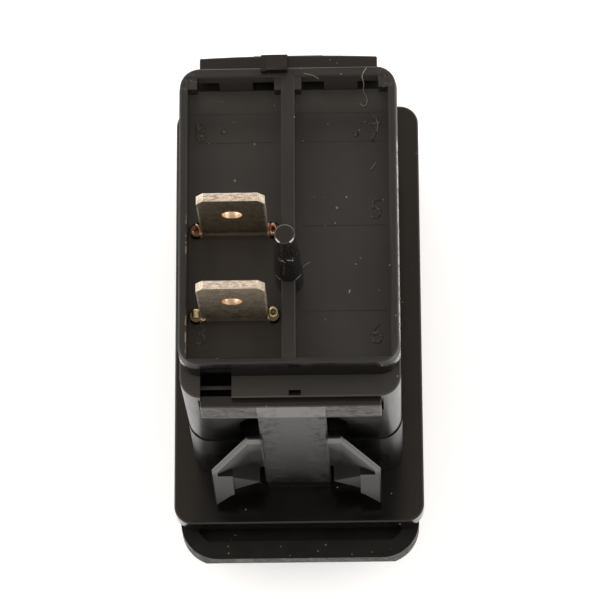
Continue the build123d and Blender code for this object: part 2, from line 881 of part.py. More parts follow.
def cap_outline(inset, lift):
    """Side outline of the cap as (y, z), in the level position."""
    back = pivot_height + flange_thickness + cap_flange_gap
    tilt = radians(rocker_tilt)
    reach = cap_reach - inset
    points = []
    for drop in (back, back + cap_lip):
        y = reach * cos(tilt) - drop * sin(tilt)
        z = pivot_height - reach * sin(tilt) - drop * cos(tilt)
        points.append((y, z))
    (back_y, back_z), (front_y, front_z) = points
    return back_y, back_z, front_y, front_z + lift


def cap_solid(inset, lift, skirt):
    """Cap body between its V-shaped back and its dished front."""
    back_y, back_z, front_y, front_z = cap_outline(inset, lift)
    half = cap_width / 2 - inset
    middle = cap_front_middle + lift
    front = ThreePointArc((-half, -front_y, front_z), (-half, 0, middle), (-half, front_y, front_z))
    back = Polyline(
        (-half, front_y, front_z),
        (-half, back_y, back_z + skirt),
        (-half, 0, apex_height + skirt),
        (-half, -back_y, back_z + skirt),
        (-half, -front_y, front_z),
    )
    body = extrude(make_face([front, back]), 2 * half, dir=(1, 0, 0))
    corner = max(cap_corner - inset, cap_front_edge)
    reach = max(front_y, back_y)
    low = min(front_z, middle) - margin
    plan = rounded_block(2 * half, -reach, reach, low, apex_height + skirt + margin, corner)
    return body & plan


def make_rocker_cap():
    shell = cap_solid(0, 0, 0)
    front_edges = shell.faces().sort_by(Axis.Z)[0].edges()
    shell = fillet(front_edges, cap_front_edge)
    shell = shell - cap_solid(cap_wall, cap_wall, cap_lip)
    for sign in (-1, 1):
        near = sign * clip_place
        far = sign * (clip_place + clip_thickness)
        half = clip_width / 2
        hook_low = stem_plate_back + cap_fit_gap
        arm = block(-half, half, near, far, stem_plate_front - cap_wall / 2, hook_low + clip_hook_height)
        hook = block(-half, half, far, far + sign * clip_hook, hook_low, hook_low + clip_hook_height)
        shell = shell + arm + hook
    return turned(shell, 0, pivot_height, -rocker_tilt)


def make_pivot_pin():
    half = (tube_root_width - tube_step) / 2
    pin = cylinder_x(pivot_diameter, 0, pivot_height, -half, half)
    return chamfer(pin.edges().filter_by(GeomType.CIRCLE), pin_chamfer)


def make_base_seal():
    half_spigot = spigot_length / 2
    half_mouth = mouth_length / 2
    low = seal_shelf_height
    high = low + seal_thickness
    outer = rounded_block(spigot_width, -half_spigot, half_spigot, low, high, mouth_corner)
    inner = rounded_block(
        mouth_width, -half_mouth, half_mouth, low - margin, high + margin, mouth_corner
    )
    return outer - inner


pieces = {
    "mounting_bracket": make_mounting_bracket,
    "terminal_base": make_terminal_base,
    "common_terminal": make_common_terminal,
    "load_terminal": make_load_terminal,
    "fixed_contact": make_fixed_contact,
    "contact_blade": make_contact_blade,
    "moving_contact": make_moving_contact,
    "plunger": make_plunger,
    "plunger_spring": make_plunger_spring,
    "rocker_stem": make_rocker_stem,
    "rocker_cap": make_rocker_cap,
    "pivot_pin": make_pivot_pin,
    "base_seal": make_base_seal,
}

os.makedirs("parts", exist_ok=True)
for name, make in pieces.items():
    export_step(make(), f"parts/{name}.step")
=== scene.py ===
"""Panel rocker switch seen from behind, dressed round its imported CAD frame."""

import math

import bmesh
import bpy
from mathutils import Matrix, Vector


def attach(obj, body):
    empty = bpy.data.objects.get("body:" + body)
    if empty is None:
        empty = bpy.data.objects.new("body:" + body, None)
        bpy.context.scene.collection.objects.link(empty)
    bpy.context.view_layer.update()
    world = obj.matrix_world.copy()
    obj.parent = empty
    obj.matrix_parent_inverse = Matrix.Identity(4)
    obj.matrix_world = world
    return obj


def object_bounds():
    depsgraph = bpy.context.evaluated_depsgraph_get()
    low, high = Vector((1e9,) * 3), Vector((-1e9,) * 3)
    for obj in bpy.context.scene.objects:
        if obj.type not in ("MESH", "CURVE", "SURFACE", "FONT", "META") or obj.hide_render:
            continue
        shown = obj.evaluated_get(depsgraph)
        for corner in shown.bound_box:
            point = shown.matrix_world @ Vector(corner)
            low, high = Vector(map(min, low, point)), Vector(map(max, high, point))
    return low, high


bl_info = {
    "name": "Panel Rocker Switch",
    "version": (1, 0, 0),
    "blender": (4, 5, 0),
    "location": "View3D > Sidebar > Rocker Switch",
    "description": "Finishes, moulded numerals, staked lugs and studio for a snap-in rocker switch",
    "category": "Object",
}

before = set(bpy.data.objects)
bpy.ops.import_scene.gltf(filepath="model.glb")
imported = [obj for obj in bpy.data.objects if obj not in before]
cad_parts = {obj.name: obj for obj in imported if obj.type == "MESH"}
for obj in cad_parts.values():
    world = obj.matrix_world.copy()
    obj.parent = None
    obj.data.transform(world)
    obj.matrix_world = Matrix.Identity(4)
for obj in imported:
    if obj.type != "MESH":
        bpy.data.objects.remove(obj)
CAD_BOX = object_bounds()
MM = 0.001

# Heights on the housing, in millimetres
FLOOR = 26.0
RIM = 29.85
WINDOW_TOP = 28.35
CATCH_FOOT = 27.8
MATT_FOOT = 28.0
POST_COLLAR = (35.1, 35.7)
POST_TIP = 39.85

# Places on the housing, across or along it, in millimetres
RIM_MIDDLE = 0.4
RIM_HALF_WIDTH = 9.95
RIM_HALF_LENGTH = 14.2
HOOK_WALL = 13.9
CATCH_EDGE = 8.3
MIDDLE_CATCH = (1.25, 1.8)
LEFT_EDGE = -9.6
# Lengths of the left well's edge that carry a painted reflection of the brass tabs
REFLECTION_SPANS = ((-3.6, 0.1), (-13.0, -9.6))
POST = (0.0, -5.02)
POST_REACH = 1.9

# Tabs, in millimetres: their column and rows and the hole's height, then places from the hole
COLUMN = -5.17
ROWS = {"common": 0.0, "load": -8.45}
TAB_HOLE = 31.8
HOLE_RADIUS = 0.95
TIP_RISE = 4.05
TAB_EDGE = 2.98
BEAD_EDGE = 3.2
BEAD_TOP = -4.6

# Bracket, in millimetres: legs, straps, end bars, then wings with their pads and webs
LEG = 16.7
STRAP_HALF = 3.25
BAR_FOOT = 21.1
WING_TOP = 16.2
WING_SHOULDER = (4.52, 15.9)
WING_SLANT = (0.882, 0.472)
PAD_INNER = 6.27
PAD_TOP = 8.0
WEB_SPAN = (0.8, 7.7)
WEB_PLACE = 19.3

# Tints of the housing
LEFT_FLOOR = (0.036, 0.032, 0.0285, 1.0)
FLOOR_MOTTLE = (0.037, 0.034, 0.0315, 1.0)
# Painted light: the far part of the left well floor lighter
FAR_LEFT_LIGHT = (0.040, 0.0385, 0.0365, 1.0)
HOOK_END_FLOOR = (0.085, 0.082, 0.078, 1.0)
# Painted shade: the rim tops darker than the well floors
PAINTED_RIM_SHADE = (0.0165, 0.0145, 0.0130, 1.0)
# Painted shade: walls darker than the floors, the outer walls darkest
INSIDE_WALL_SHADE = (0.020, 0.0185, 0.017, 1.0)
OUTSIDE_WALL_SHADE = (0.0015, 0.0014, 0.0012, 1.0)
# Painted light: the hook end's wall lighter than the other walls
END_WALL_LIGHT = (0.050, 0.046, 0.043, 1.0)
# Painted shade: the keying post's sides darker than the other walls
POST_SHADE = (0.007, 0.0066, 0.006, 1.0)
# Painted shade inside the hook end's windows
WINDOW_SHADE = (0.0015, 0.0015, 0.0015, 1.0)
FLECK_TINT = (0.10, 0.085, 0.07, 1.0)
# Painted reflection of the brass tabs on the left well's inner edge
BRASS_REFLECTION_TINT = (0.30, 0.22, 0.15, 1.0)
GLINT_TINT = (0.62, 0.59, 0.55, 1.0)

# Tints of the bracket and the cap
# Painted reflection: a warm sheen on the flange's outer parts
FLANGE_REFLECTION = (0.0125, 0.0098, 0.0078, 1.0)
# Painted shade: the straps darker towards their root at the flange
STRAP_TINT = (0.024, 0.0225, 0.0215, 1.0)
# Painted shade: darker mottled bands on the sides of the near straps
STRAP_SIDE_SHADE = (0.007, 0.006, 0.005, 1.0)
SANDED_TINT = (0.07, 0.066, 0.062, 1.0)
# Painted light: the wing scoops lighter near their slanted edge, and the webs mid grey
SCOOP_LIGHT = (0.085, 0.083, 0.080, 1.0)
WEB_LIGHT = (0.026, 0.025, 0.024, 1.0)
# Painted highlights on the strap heads and bar faces, painted light on the top faces
HEAD_HIGHLIGHT = (0.12, 0.117, 0.11, 1.0)
TOP_LIGHT = (0.0165, 0.0135, 0.0112, 1.0)
BAR_HIGHLIGHT = (0.072, 0.068, 0.062, 1.0)
STREAK_TINT = (0.033, 0.030, 0.026, 1.0)
CAP_MOTTLE = (0.013, 0.011, 0.010, 1.0)
# Painted light on the sides of the cap's near end
CAP_END_LIGHT = (0.050, 0.040, 0.033, 1.0)

# Tints of the tabs, and each tab's worn share and foot colour
PIT_TINT = (0.16, 0.12, 0.08, 1.0)
# Painted highlight along the tab edges
EDGE_HIGHLIGHT = (0.62, 0.55, 0.46, 1.0)
# Painted bounce light at the tab's foot
FOOT_BOUNCE_LIGHT = (0.66, 0.54, 0.41, 1.0)
SHEARED_METAL = (0.93, 0.83, 0.72, 1.0)
TORN_METAL = (0.46, 0.36, 0.27, 1.0)
HOLE_WALL = (0.98, 0.76, 0.55, 1.0)
TAB_WEAR = {"common": (0.07, (0.20, 0.10, 0.055, 1.0)), "load": (0.36, (0.20, 0.17, 0.11, 1.0))}

# Tints of the numerals, lint, studio floor and sky
NUMERAL_TINT = (0.022, 0.019, 0.016, 1.0)
NUMERAL_WORN = (0.085, 0.066, 0.05, 1.0)
LINT_TINTS = ((0.26, 0.225, 0.19, 1.0), (0.46, 0.40, 0.34, 1.0))
GROUND_TINTS = ((0.90, 0.91, 0.93, 1.0), (0.91, 0.925, 0.945, 1.0))
SKY_TINTS = ((1.0, 1.0, 1.0, 1.0), (1.0, 0.88, 0.77, 1.0))
WHITE = (1.0, 1.0, 1.0, 1.0)

# Specular level of the mouldings and of the cap
MOULDING_SHINE = 0.42
CAP_SHINE = 0.24

# Roughness of the finishes, least and most
FLOOR_SATIN = (0.40, 0.50)
WALL_GLOSS = (0.12, 0.17)
BRACKET_GLOSS = (0.12, 0.18)
STRAP_SATIN = (0.26, 0.44)
CAP_SATIN = (0.33, 0.44)
PLATING_GLOSS = (0.28, 0.40)
POST_ROUGHNESS = 0.16

# Dust specks, as shares of their cell: the smallest radius, and how much larger one may be
SPECK_LEAST = 0.045
SPECK_SPREAD = 0.1

# Numerals: their height at font size one, bevel as a share of the relief, width as a share of the font's
FONT_HEIGHT = 0.7
NUMERAL_BEVEL = 0.35
NUMERAL_WIDTH = 0.92

# Small pieces: lengths in millimetres, angles in degrees
PIP_FOOT = 0.34
PIP_TOP = 0.22
PIP_HEIGHT = 0.16
PIP_SIDES = 20
RING_SIDES = 10
RING_STEPS = 24
RING_LEAN = 20.0
FULL_TURN = 360.0
TOUCHING = 1e-4
LINT_STEPS = 8

# Rounding as a share of a block's shortest side, and a grain's height as a share of its width
BLOCK_ROUNDING = 0.3
GRAIN_FLATNESS = 0.6

# Studio, in metres: each light's place, size and colour, then what they aim at
LIGHTS = {
    "left_light": ((-0.42, 0.02, 0.30), (0.34, 0.5), (1.0, 0.985, 0.96)),
    "right_light": ((0.44, 0.02, 0.28), (0.30, 0.5), (1.0, 0.985, 0.96)),
    "rear_light": ((0.0, 0.46, 0.30), (0.6, 0.3), (1.0, 0.98, 0.95)),
}
LIGHT_TARGET = (0.0, 0.0, 0.012)
SKY_STRENGTHS = (1.0, 0.56)
GROUND_GLOW = 0.41
GROUND_GAP = 0.00002
CAMERA_FORWARD = (-0.02813, 0.29882, -0.95390)
CAMERA_UP = (0.01374, 0.95430, 0.29854)
SENSOR_WIDTH = 36.0
CLIP_START = 0.01
CLIP_END = 20.0


class PlasticSettings(bpy.types.PropertyGroup):
    """Colours of the mouldings, and their dust."""

    housing_colour: bpy.props.FloatVectorProperty(
        name="Housing", description="Colour of the terminal housing", subtype="COLOR",
        size=4, min=0.0, max=1.0, default=(0.0315, 0.0300, 0.0285, 1.0))
    bracket_colour: bpy.props.FloatVectorProperty(
        name="Bracket", description="Colour of the flange, tube and snap legs", subtype="COLOR",
        size=4, min=0.0, max=1.0, default=(0.003, 0.0028, 0.0026, 1.0))
    cap_colour: bpy.props.FloatVectorProperty(
        name="Cap", description="Colour of the rocker cap", subtype="COLOR",
        size=4, min=0.0, max=1.0, default=(0.0065, 0.006, 0.0055, 1.0))
    dust_colour: bpy.props.FloatVectorProperty(
        name="Dust", description="Colour of the dust specks", subtype="COLOR",
        size=4, min=0.0, max=1.0, default=(0.42, 0.37, 0.31, 1.0))
    dust_share: bpy.props.FloatProperty(
        name="Dust share", description="Share of the dust pattern's cells that hold a speck",
        min=0.0, max=1.0, subtype="FACTOR", default=0.06)


class MetalSettings(bpy.types.PropertyGroup):
    """Colours of the tabs and the lugs staked beside them."""

    plating_colour: bpy.props.FloatVectorProperty(
        name="Plating", description="Colour of the plated tabs", subtype="COLOR",
        size=4, min=0.0, max=1.0, default=(0.80, 0.70, 0.54, 1.0))
    tarnish_colour: bpy.props.FloatVectorProperty(
        name="Tarnish", description="Colour of the stains on the tabs", subtype="COLOR",
        size=4, min=0.0, max=1.0, default=(0.30, 0.23, 0.15, 1.0))
    copper_colour: bpy.props.FloatVectorProperty(
        name="Sheared copper", description="Colour of the common tab's staked lugs", subtype="COLOR",
        size=4, min=0.0, max=1.0, default=(0.86, 0.49, 0.35, 1.0))
    brass_colour: bpy.props.FloatVectorProperty(
        name="Staked brass", description="Colour of the load tab's staked lugs", subtype="COLOR",
        size=4, min=0.0, max=1.0, default=(0.86, 0.74, 0.42, 1.0))


class DetailSettings(bpy.types.PropertyGroup):
    """Sizes of the small moulded and staked details."""

    numeral_height: bpy.props.FloatProperty(
        name="Numeral height", description="Height of the moulded terminal numerals",
        subtype="DISTANCE", unit="LENGTH", default=2.0 * MM)
    numeral_relief: bpy.props.FloatProperty(
        name="Numeral relief", description="How far the numerals stand off the floor, before their bevel",
        subtype="DISTANCE", unit="LENGTH", default=0.05 * MM)
    lint_radius: bpy.props.FloatProperty(
        name="Lint radius", description="Half thickness of the longest lint fibre",
        subtype="DISTANCE", unit="LENGTH", default=0.034 * MM)


class StudioSettings(bpy.types.PropertyGroup):
    """Floor, lights and camera."""

    camera_place: bpy.props.FloatVectorProperty(
        name="Camera place", description="Where the camera stands", subtype="TRANSLATION",
        unit="LENGTH", size=3, default=(0.0097724, -0.1004859, 0.3247044))
    camera_lens: bpy.props.FloatProperty(
        name="Lens", description="Focal length in millimetres", default=199.67)
    floor_size: bpy.props.FloatProperty(
        name="Floor size", description="Side of the pale floor", subtype="DISTANCE",
        unit="LENGTH", default=6.0)
    light_power: bpy.props.FloatProperty(
        name="Light power", description="Power of each of the three lights in watts", unit="POWER",
        default=0.85)


def settings():
    """The scene's four property groups, in order."""
    scene = bpy.context.scene
    return scene.switch_plastics, scene.switch_metals, scene.switch_details, scene.switch_studio


# Node helpers

def feed(tree, made, values):
    """Links or sets a node's inputs."""
    for key, value in values.items():
        if isinstance(value, bpy.types.NodeSocket):
            tree.links.new(value, made.inputs[key])
        else:
            made.inputs[key].default_value = value


def node(tree, kind, values=None, **options):
    """Adds a node, sets its options, and links or sets its inputs."""
    made = tree.nodes.new(kind)
    for key, value in options.items():
        setattr(made, key, value)
    feed(tree, made, values or {})
    return made


def calc(tree, operation, first, second=0.0):
    """One Math node's result."""
    return node(tree, "ShaderNodeMath", {0: first, 1: second}, operation=operation).outputs[0]


def chain(tree, operation, values):
    """Math nodes in a row over several values."""
    result = values[0]
    for value in values[1:]:
        result = calc(tree, operation, result, value)
    return result


def times(tree, *values):
    """Product of values, as of masks that all have to hold."""
    return chain(tree, "MULTIPLY", values)


def most(tree, *values):
    """Largest of values, as of masks of which one has to hold."""
    return chain(tree, "MAXIMUM", values)


def plus(tree, *values):
    """Sum of values."""
    return chain(tree, "ADD", values)


def without(tree, value):
    """One less a mask."""
    return calc(tree, "SUBTRACT", 1.0, value)


def unsigned(tree, value):
    """A value without its sign."""
    return calc(tree, "ABSOLUTE", value)


def scaled(tree, value, factor, offset):
    """A value times a factor, plus an offset."""
    return node(tree, "ShaderNodeMath", {0: value, 1: factor, 2: offset},
                operation="MULTIPLY_ADD").outputs[0]


def step(tree, value, low, high, start=0.0, end=1.0):
    """Smooth step from start to end as value goes from low to high."""
    return node(tree, "ShaderNodeMapRange",
                {"Value": value, "From Min": low, "From Max": high, "To Min": start, "To Max": end},
                interpolation_type="SMOOTHSTEP").outputs[0]


def within(tree, value, low, high, soft):
    """One between low and high, falling to nought over a soft border."""
    return times(tree, step(tree, value, low - soft, low), step(tree, value, high + soft, high))


def blend_colour(tree, factor, first, second):
    """Mix of two colours."""
    return node(tree, "ShaderNodeMix", {0: factor, 6: first, 7: second},
                data_type="RGBA").outputs[2]


def blend_value(tree, factor, first, second):
    """Mix of two numbers."""
    return node(tree, "ShaderNodeMix", {0: factor, 2: first, 3: second},
                data_type="FLOAT").outputs[0]


def noise(tree, vector, scale, detail, **more):
    """Value of a noise texture."""
    return node(tree, "ShaderNodeTexNoise",
                {"Vector": vector, "Scale": scale, "Detail": detail, **more}).outputs[0]


def mapped(tree, vector, **values):
    """Coordinates moved, turned or stretched."""
    return node(tree, "ShaderNodeMapping", {"Vector": vector, **values}).outputs[0]


def split(tree, vector):
    """The three coordinates of a vector."""
    return node(tree, "ShaderNodeSeparateXYZ", {"Vector": vector}).outputs


def facing(tree, axis):
    """How far the surface faces along an axis of the object, from -1 to 1."""
    return split(tree, tree.nodes.new("ShaderNodeTexCoord").outputs["Normal"])[axis]


def radial(tree, vector, centre):
    """Distance from an upright line."""
    moved = mapped(tree, vector, Location=(-centre[0], -centre[1], 0.0), Scale=(1.0, 1.0, 0.0))
    return node(tree, "ShaderNodeVectorMath", {0: moved}, operation="LENGTH").outputs["Value"]


def bump(tree, height, strength, distance):
    """Bump normal from a height."""
    return node(tree, "ShaderNodeBump", {"Height": height, "Strength": strength,
                                         "Distance": distance}).outputs[0]


# Shared effects

def group_tree(name, inputs, outputs):
    """Empty shader group with named sockets, and its two end nodes."""
    group = bpy.data.node_groups.new(name, "ShaderNodeTree")
    for label, kind, default in inputs:
        socket = group.interface.new_socket(label, in_out="INPUT", socket_type=kind)
        if default is not None:
            socket.default_value = default
    for label in outputs:
        group.interface.new_socket(label, in_out="OUTPUT", socket_type="NodeSocketFloat")
    return group, group.nodes.new("NodeGroupInput").outputs, group.nodes.new("NodeGroupOutput").inputs


def moulded_grain_group():
    """Fine texture and slow mottling of a moulded surface."""
    group, given, out = group_tree(
        "Moulded Grain",
        [("Vector", "NodeSocketVector", None), ("Scale", "NodeSocketFloat", 8.0)],
        ["Height", "Mottle"])
    fine = noise(group, given["Vector"], given["Scale"], 4.0, Roughness=0.6)
    slow = noise(group, given["Vector"], 0.35, 3.0, Roughness=0.55, Distortion=0.6)
    group.links.new(fine, out["Height"])
    group.links.new(step(group, slow, 0.32, 0.68), out["Mottle"])
    return group


def dust_group():
    """Scattered specks, each in its own random cell."""
    group, given, out = group_tree(
        "Dust Specks",
        [("Vector", "NodeSocketVector", None), ("Scale", "NodeSocketFloat", 1.0),
         ("Share", "NodeSocketFloat", 0.06)],
        ["Mask"])
    cells = node(group, "ShaderNodeTexVoronoi",
                 {"Vector": given["Vector"], "Scale": given["Scale"], "Randomness": 1.0},
                 feature="F1")
    draws = node(group, "ShaderNodeSeparateColor", {"Color": cells.outputs["Color"]}).outputs
    chosen = calc(group, "LESS_THAN", draws[0], given["Share"])
    radius = scaled(group, draws[1], SPECK_SPREAD, SPECK_LEAST)
    near = calc(group, "DIVIDE", cells.outputs["Distance"], radius)
    group.links.new(times(group, chosen, step(group, near, 1.0, 0.55)), out["Mask"])
    return group


def scratch_group():
    """Long thin handling scratches along one direction of the pattern."""
    group, given, out = group_tree(
        "Fine Scratches",
        [("Vector", "NodeSocketVector", None), ("Scale", "NodeSocketFloat", 1.0)],
        ["Mask"])
    stretched = mapped(group, given["Vector"], Scale=(0.06, 1.0, 1.0), Rotation=(0.0, 0.0, 0.9))
    lines = noise(group, stretched, given["Scale"], 6.0, Roughness=0.75)
    group.links.new(step(group, lines, 0.66, 0.72), out["Mask"])
    return group


MAKERS = {"grain": moulded_grain_group, "dust": dust_group, "scratches": scratch_group}
SHARED = {}


def use(tree, name, place, **values):
    """Places a shared group, built on its first use."""
    if name not in SHARED:
        SHARED[name] = MAKERS[name]()
    return node(tree, "ShaderNodeGroup", {"Vector": place, **values}, node_tree=SHARED[name]).outputs


def new_material(name):
    """Material, its tree and shader, and its object coordinates in millimetres."""
    material = bpy.data.materials.new(name)
    material.use_nodes = True
    tree = material.node_tree
    coords = tree.nodes.new("ShaderNodeTexCoord").outputs
    place = mapped(tree, coords["Object"], Scale=(1 / MM, 1 / MM, 1 / MM))
    return material, tree, tree.nodes["Principled BSDF"], place


# Finishes

def post_glints(tree, place, parts):
    """Bright marks on the keying post: its tip's edge, its collar and its foot."""
    reach = radial(tree, place, POST)
    front = calc(tree, "DIVIDE", calc(tree, "SUBTRACT", parts["Y"], POST[1]), reach)
    side = unsigned(tree, calc(tree, "DIVIDE", parts["X"], reach))
    shown = step(tree, front, -0.2, -0.4)
    flanks = times(tree, within(tree, side, 0.58, 0.82, 0.12), shown)
    tip = within(tree, parts["Z"], POST_TIP - 0.17, POST_TIP - 0.03, 0.03)
    foot = times(tree, within(tree, parts["Z"], RIM - 0.05, RIM + 0.13, 0.06), 0.45)
    specks = step(tree, noise(tree, place, 3.0, 3.0), 0.5, 0.64)
    collar = times(tree, within(tree, parts["Z"], *POST_COLLAR, 0.2), step(tree, side, 0.7, 0.5),
                   shown, specks, 0.5)
    marks = times(tree, most(tree, tip, foot), flanks)
    return times(tree, most(tree, marks, collar), step(tree, reach, POST_REACH + 0.2, POST_REACH))


def brass_reflection_edge(tree, place, parts):
    """Two lengths of the left well's inner edge, lightened to a pale brown by a painted reflection of the
    brass tabs.
    """
    edge = times(tree, within(tree, parts["X"], LEFT_EDGE, LEFT_EDGE + 0.18, 0.05),
                 step(tree, parts["Z"], RIM - 0.35, RIM - 0.1))
    spans = most(tree, *(within(tree, parts["Y"], *span, 0.4) for span in REFLECTION_SPANS))
    chips = step(tree, noise(tree, place, 2.2, 4.0), 0.46, 0.56)
    return times(tree, edge, spans, chips)


def housing_finish():
    """Satin floors and rims, glossy walls and keying post, settled dust, and painted light and shade: toned
    regions and faces, shaded window sills, glints on the post and a reflection of the brass tabs on the left
    well's edge.
    """
    plastics = settings()[0]
    material, tree, shader, place = new_material("housing_plastic")
    grain = use(tree, "grain", place, Scale=9.0)
    dust = use(tree, "dust", place, Scale=0.9, Share=plastics.dust_share)["Mask"]
    fine_dust = use(tree, "dust", place, Scale=2.1, Share=0.03)["Mask"]
    parts = split(tree, place)
    centred = unsigned(tree, parts["X"])
    upward = step(tree, facing(tree, "Z"), 0.2, 0.6)
    settled = times(tree, most(tree, dust, fine_dust), upward)
    # Regions of the moulding
    rims = step(tree, parts["Z"], FLOOR + 0.6, FLOOR + 1.6)
    left = step(tree, parts["X"], 0.5, -1.0)
    near_left = times(tree, left, step(tree, parts["Y"], 6.0, 1.0))
    far_left = times(tree, left, step(tree, parts["Y"], 5.0, 8.0))
    below = step(tree, parts["Z"], FLOOR - 0.1, FLOOR - 0.3)
    beyond = unsigned(tree, calc(tree, "SUBTRACT", parts["Y"], RIM_MIDDLE))
    outside = most(tree, step(tree, centred, RIM_HALF_WIDTH, RIM_HALF_WIDTH + 0.15),
                   step(tree, beyond, RIM_HALF_LENGTH, RIM_HALF_LENGTH + 0.3), below)
    post = times(tree, step(tree, radial(tree, place, POST), POST_REACH + 0.2, POST_REACH),
                 without(tree, upward))
    hook_end = step(tree, parts["Y"], HOOK_WALL, HOOK_WALL + 0.2)
    # Painted shade: the window openings below their top made near black
    shaded_windows = times(tree, step(tree, parts["Y"], HOOK_WALL + 0.2, HOOK_WALL + 0.3),
                  step(tree, parts["Z"], WINDOW_TOP + 0.15, WINDOW_TOP + 0.05))
    corners = most(tree, step(tree, centred, CATCH_EDGE, CATCH_EDGE + 0.2),
                   within(tree, centred, *MIDDLE_CATCH, 0.1))
    catches = times(tree, corners, step(tree, parts["Y"], HOOK_WALL - 1.3, HOOK_WALL - 1.0),
                    step(tree, parts["Z"], CATCH_FOOT, CATCH_FOOT + 0.3))
    torn = noise(tree, place, 3.2, 4.0, Roughness=0.7)
    flecks = times(tree, catches, step(tree, torn, 0.52, 0.66))
    # Colour
    tint = blend_colour(tree, near_left, plastics.housing_colour, LEFT_FLOOR)
    tint = blend_colour(tree, times(tree, grain["Mottle"], 0.35), tint, FLOOR_MOTTLE)
    # Painted light on the far part of the left well floor
    tint = blend_colour(tree, far_left, tint, FAR_LEFT_LIGHT)
    tint = blend_colour(tree, step(tree, parts["Y"], 10.5, HOOK_WALL), tint, HOOK_END_FLOOR)
    # Painted shade: the upper part of the moulding darker than the well floors
    tint = blend_colour(tree, rims, tint, PAINTED_RIM_SHADE)
    # Painted shade and light: walls toned apart from the upward faces
    wall_light_and_shade = blend_colour(tree, outside, INSIDE_WALL_SHADE, OUTSIDE_WALL_SHADE)
    # Painted light on the hook end's wall
    wall_light_and_shade = blend_colour(tree, hook_end, wall_light_and_shade, END_WALL_LIGHT)
    tint = blend_colour(tree, upward, wall_light_and_shade, tint)
    # Painted shade on the keying post's sides
    tint = blend_colour(tree, times(tree, post, rims), tint, POST_SHADE)
    tint = blend_colour(tree, shaded_windows, tint, WINDOW_SHADE)
    tint = blend_colour(tree, times(tree, flecks, 0.5), tint, FLECK_TINT)
    colour = blend_colour(tree, times(tree, settled, 0.45), tint, plastics.dust_colour)
    # Painted reflection of the brass tabs along the left well's inner edge
    colour = blend_colour(tree, times(tree, brass_reflection_edge(tree, place, parts), 0.7), colour, BRASS_REFLECTION_TINT)
    colour = blend_colour(tree, post_glints(tree, place, parts), colour, GLINT_TINT)
    # Roughness
    satin = blend_value(tree, grain["Mottle"], *FLOOR_SATIN)
    gloss = plus(tree, blend_value(tree, grain["Mottle"], *WALL_GLOSS), times(tree, below, 0.1))
    rough = most(tree, blend_value(tree, upward, gloss, satin), times(tree, settled, 0.8))
    rough = blend_value(tree, step(tree, parts["Z"], RIM + 0.1, RIM + 0.3), rough, POST_ROUGHNESS)
    band = step(tree, parts["Z"], MATT_FOOT, MATT_FOOT + 0.6)
    far_side = times(tree, step(tree, parts["X"], -10.1, -10.2), band)
    near_side = times(tree, step(tree, parts["X"], 10.1, 10.2), band)
    near_corners = times(tree, step(tree, centred, 7.4, 9.4), step(tree, parts["Y"], -11.0, -12.8),
                         step(tree, parts["Z"], MATT_FOOT - 0.4, MATT_FOOT + 0.6))
    broken = noise(tree, place, 1.5, 5.0, Roughness=0.75)
    scuffed = most(tree, step(tree, parts["Y"], 6.5, 8.5), step(tree, broken, 0.44, 0.6))
    rough = most(tree, rough, times(tree, far_side, 0.65), times(tree, near_corners, 0.5),
                 times(tree, near_side, scuffed, 0.5))
    # Relief
    drops = times(tree, step(tree, noise(tree, place, 2.0, 2.0), 0.57, 0.64), post, 14.0)
    relief = plus(tree, times(tree, grain["Height"], upward), drops, times(tree, flecks, 5.0))
    feed(tree, shader, {"Base Color": colour, "Roughness": rough, "Specular IOR Level": MOULDING_SHINE,
                        "Normal": bump(tree, relief, 0.25, 0.02 * MM)})
    return material


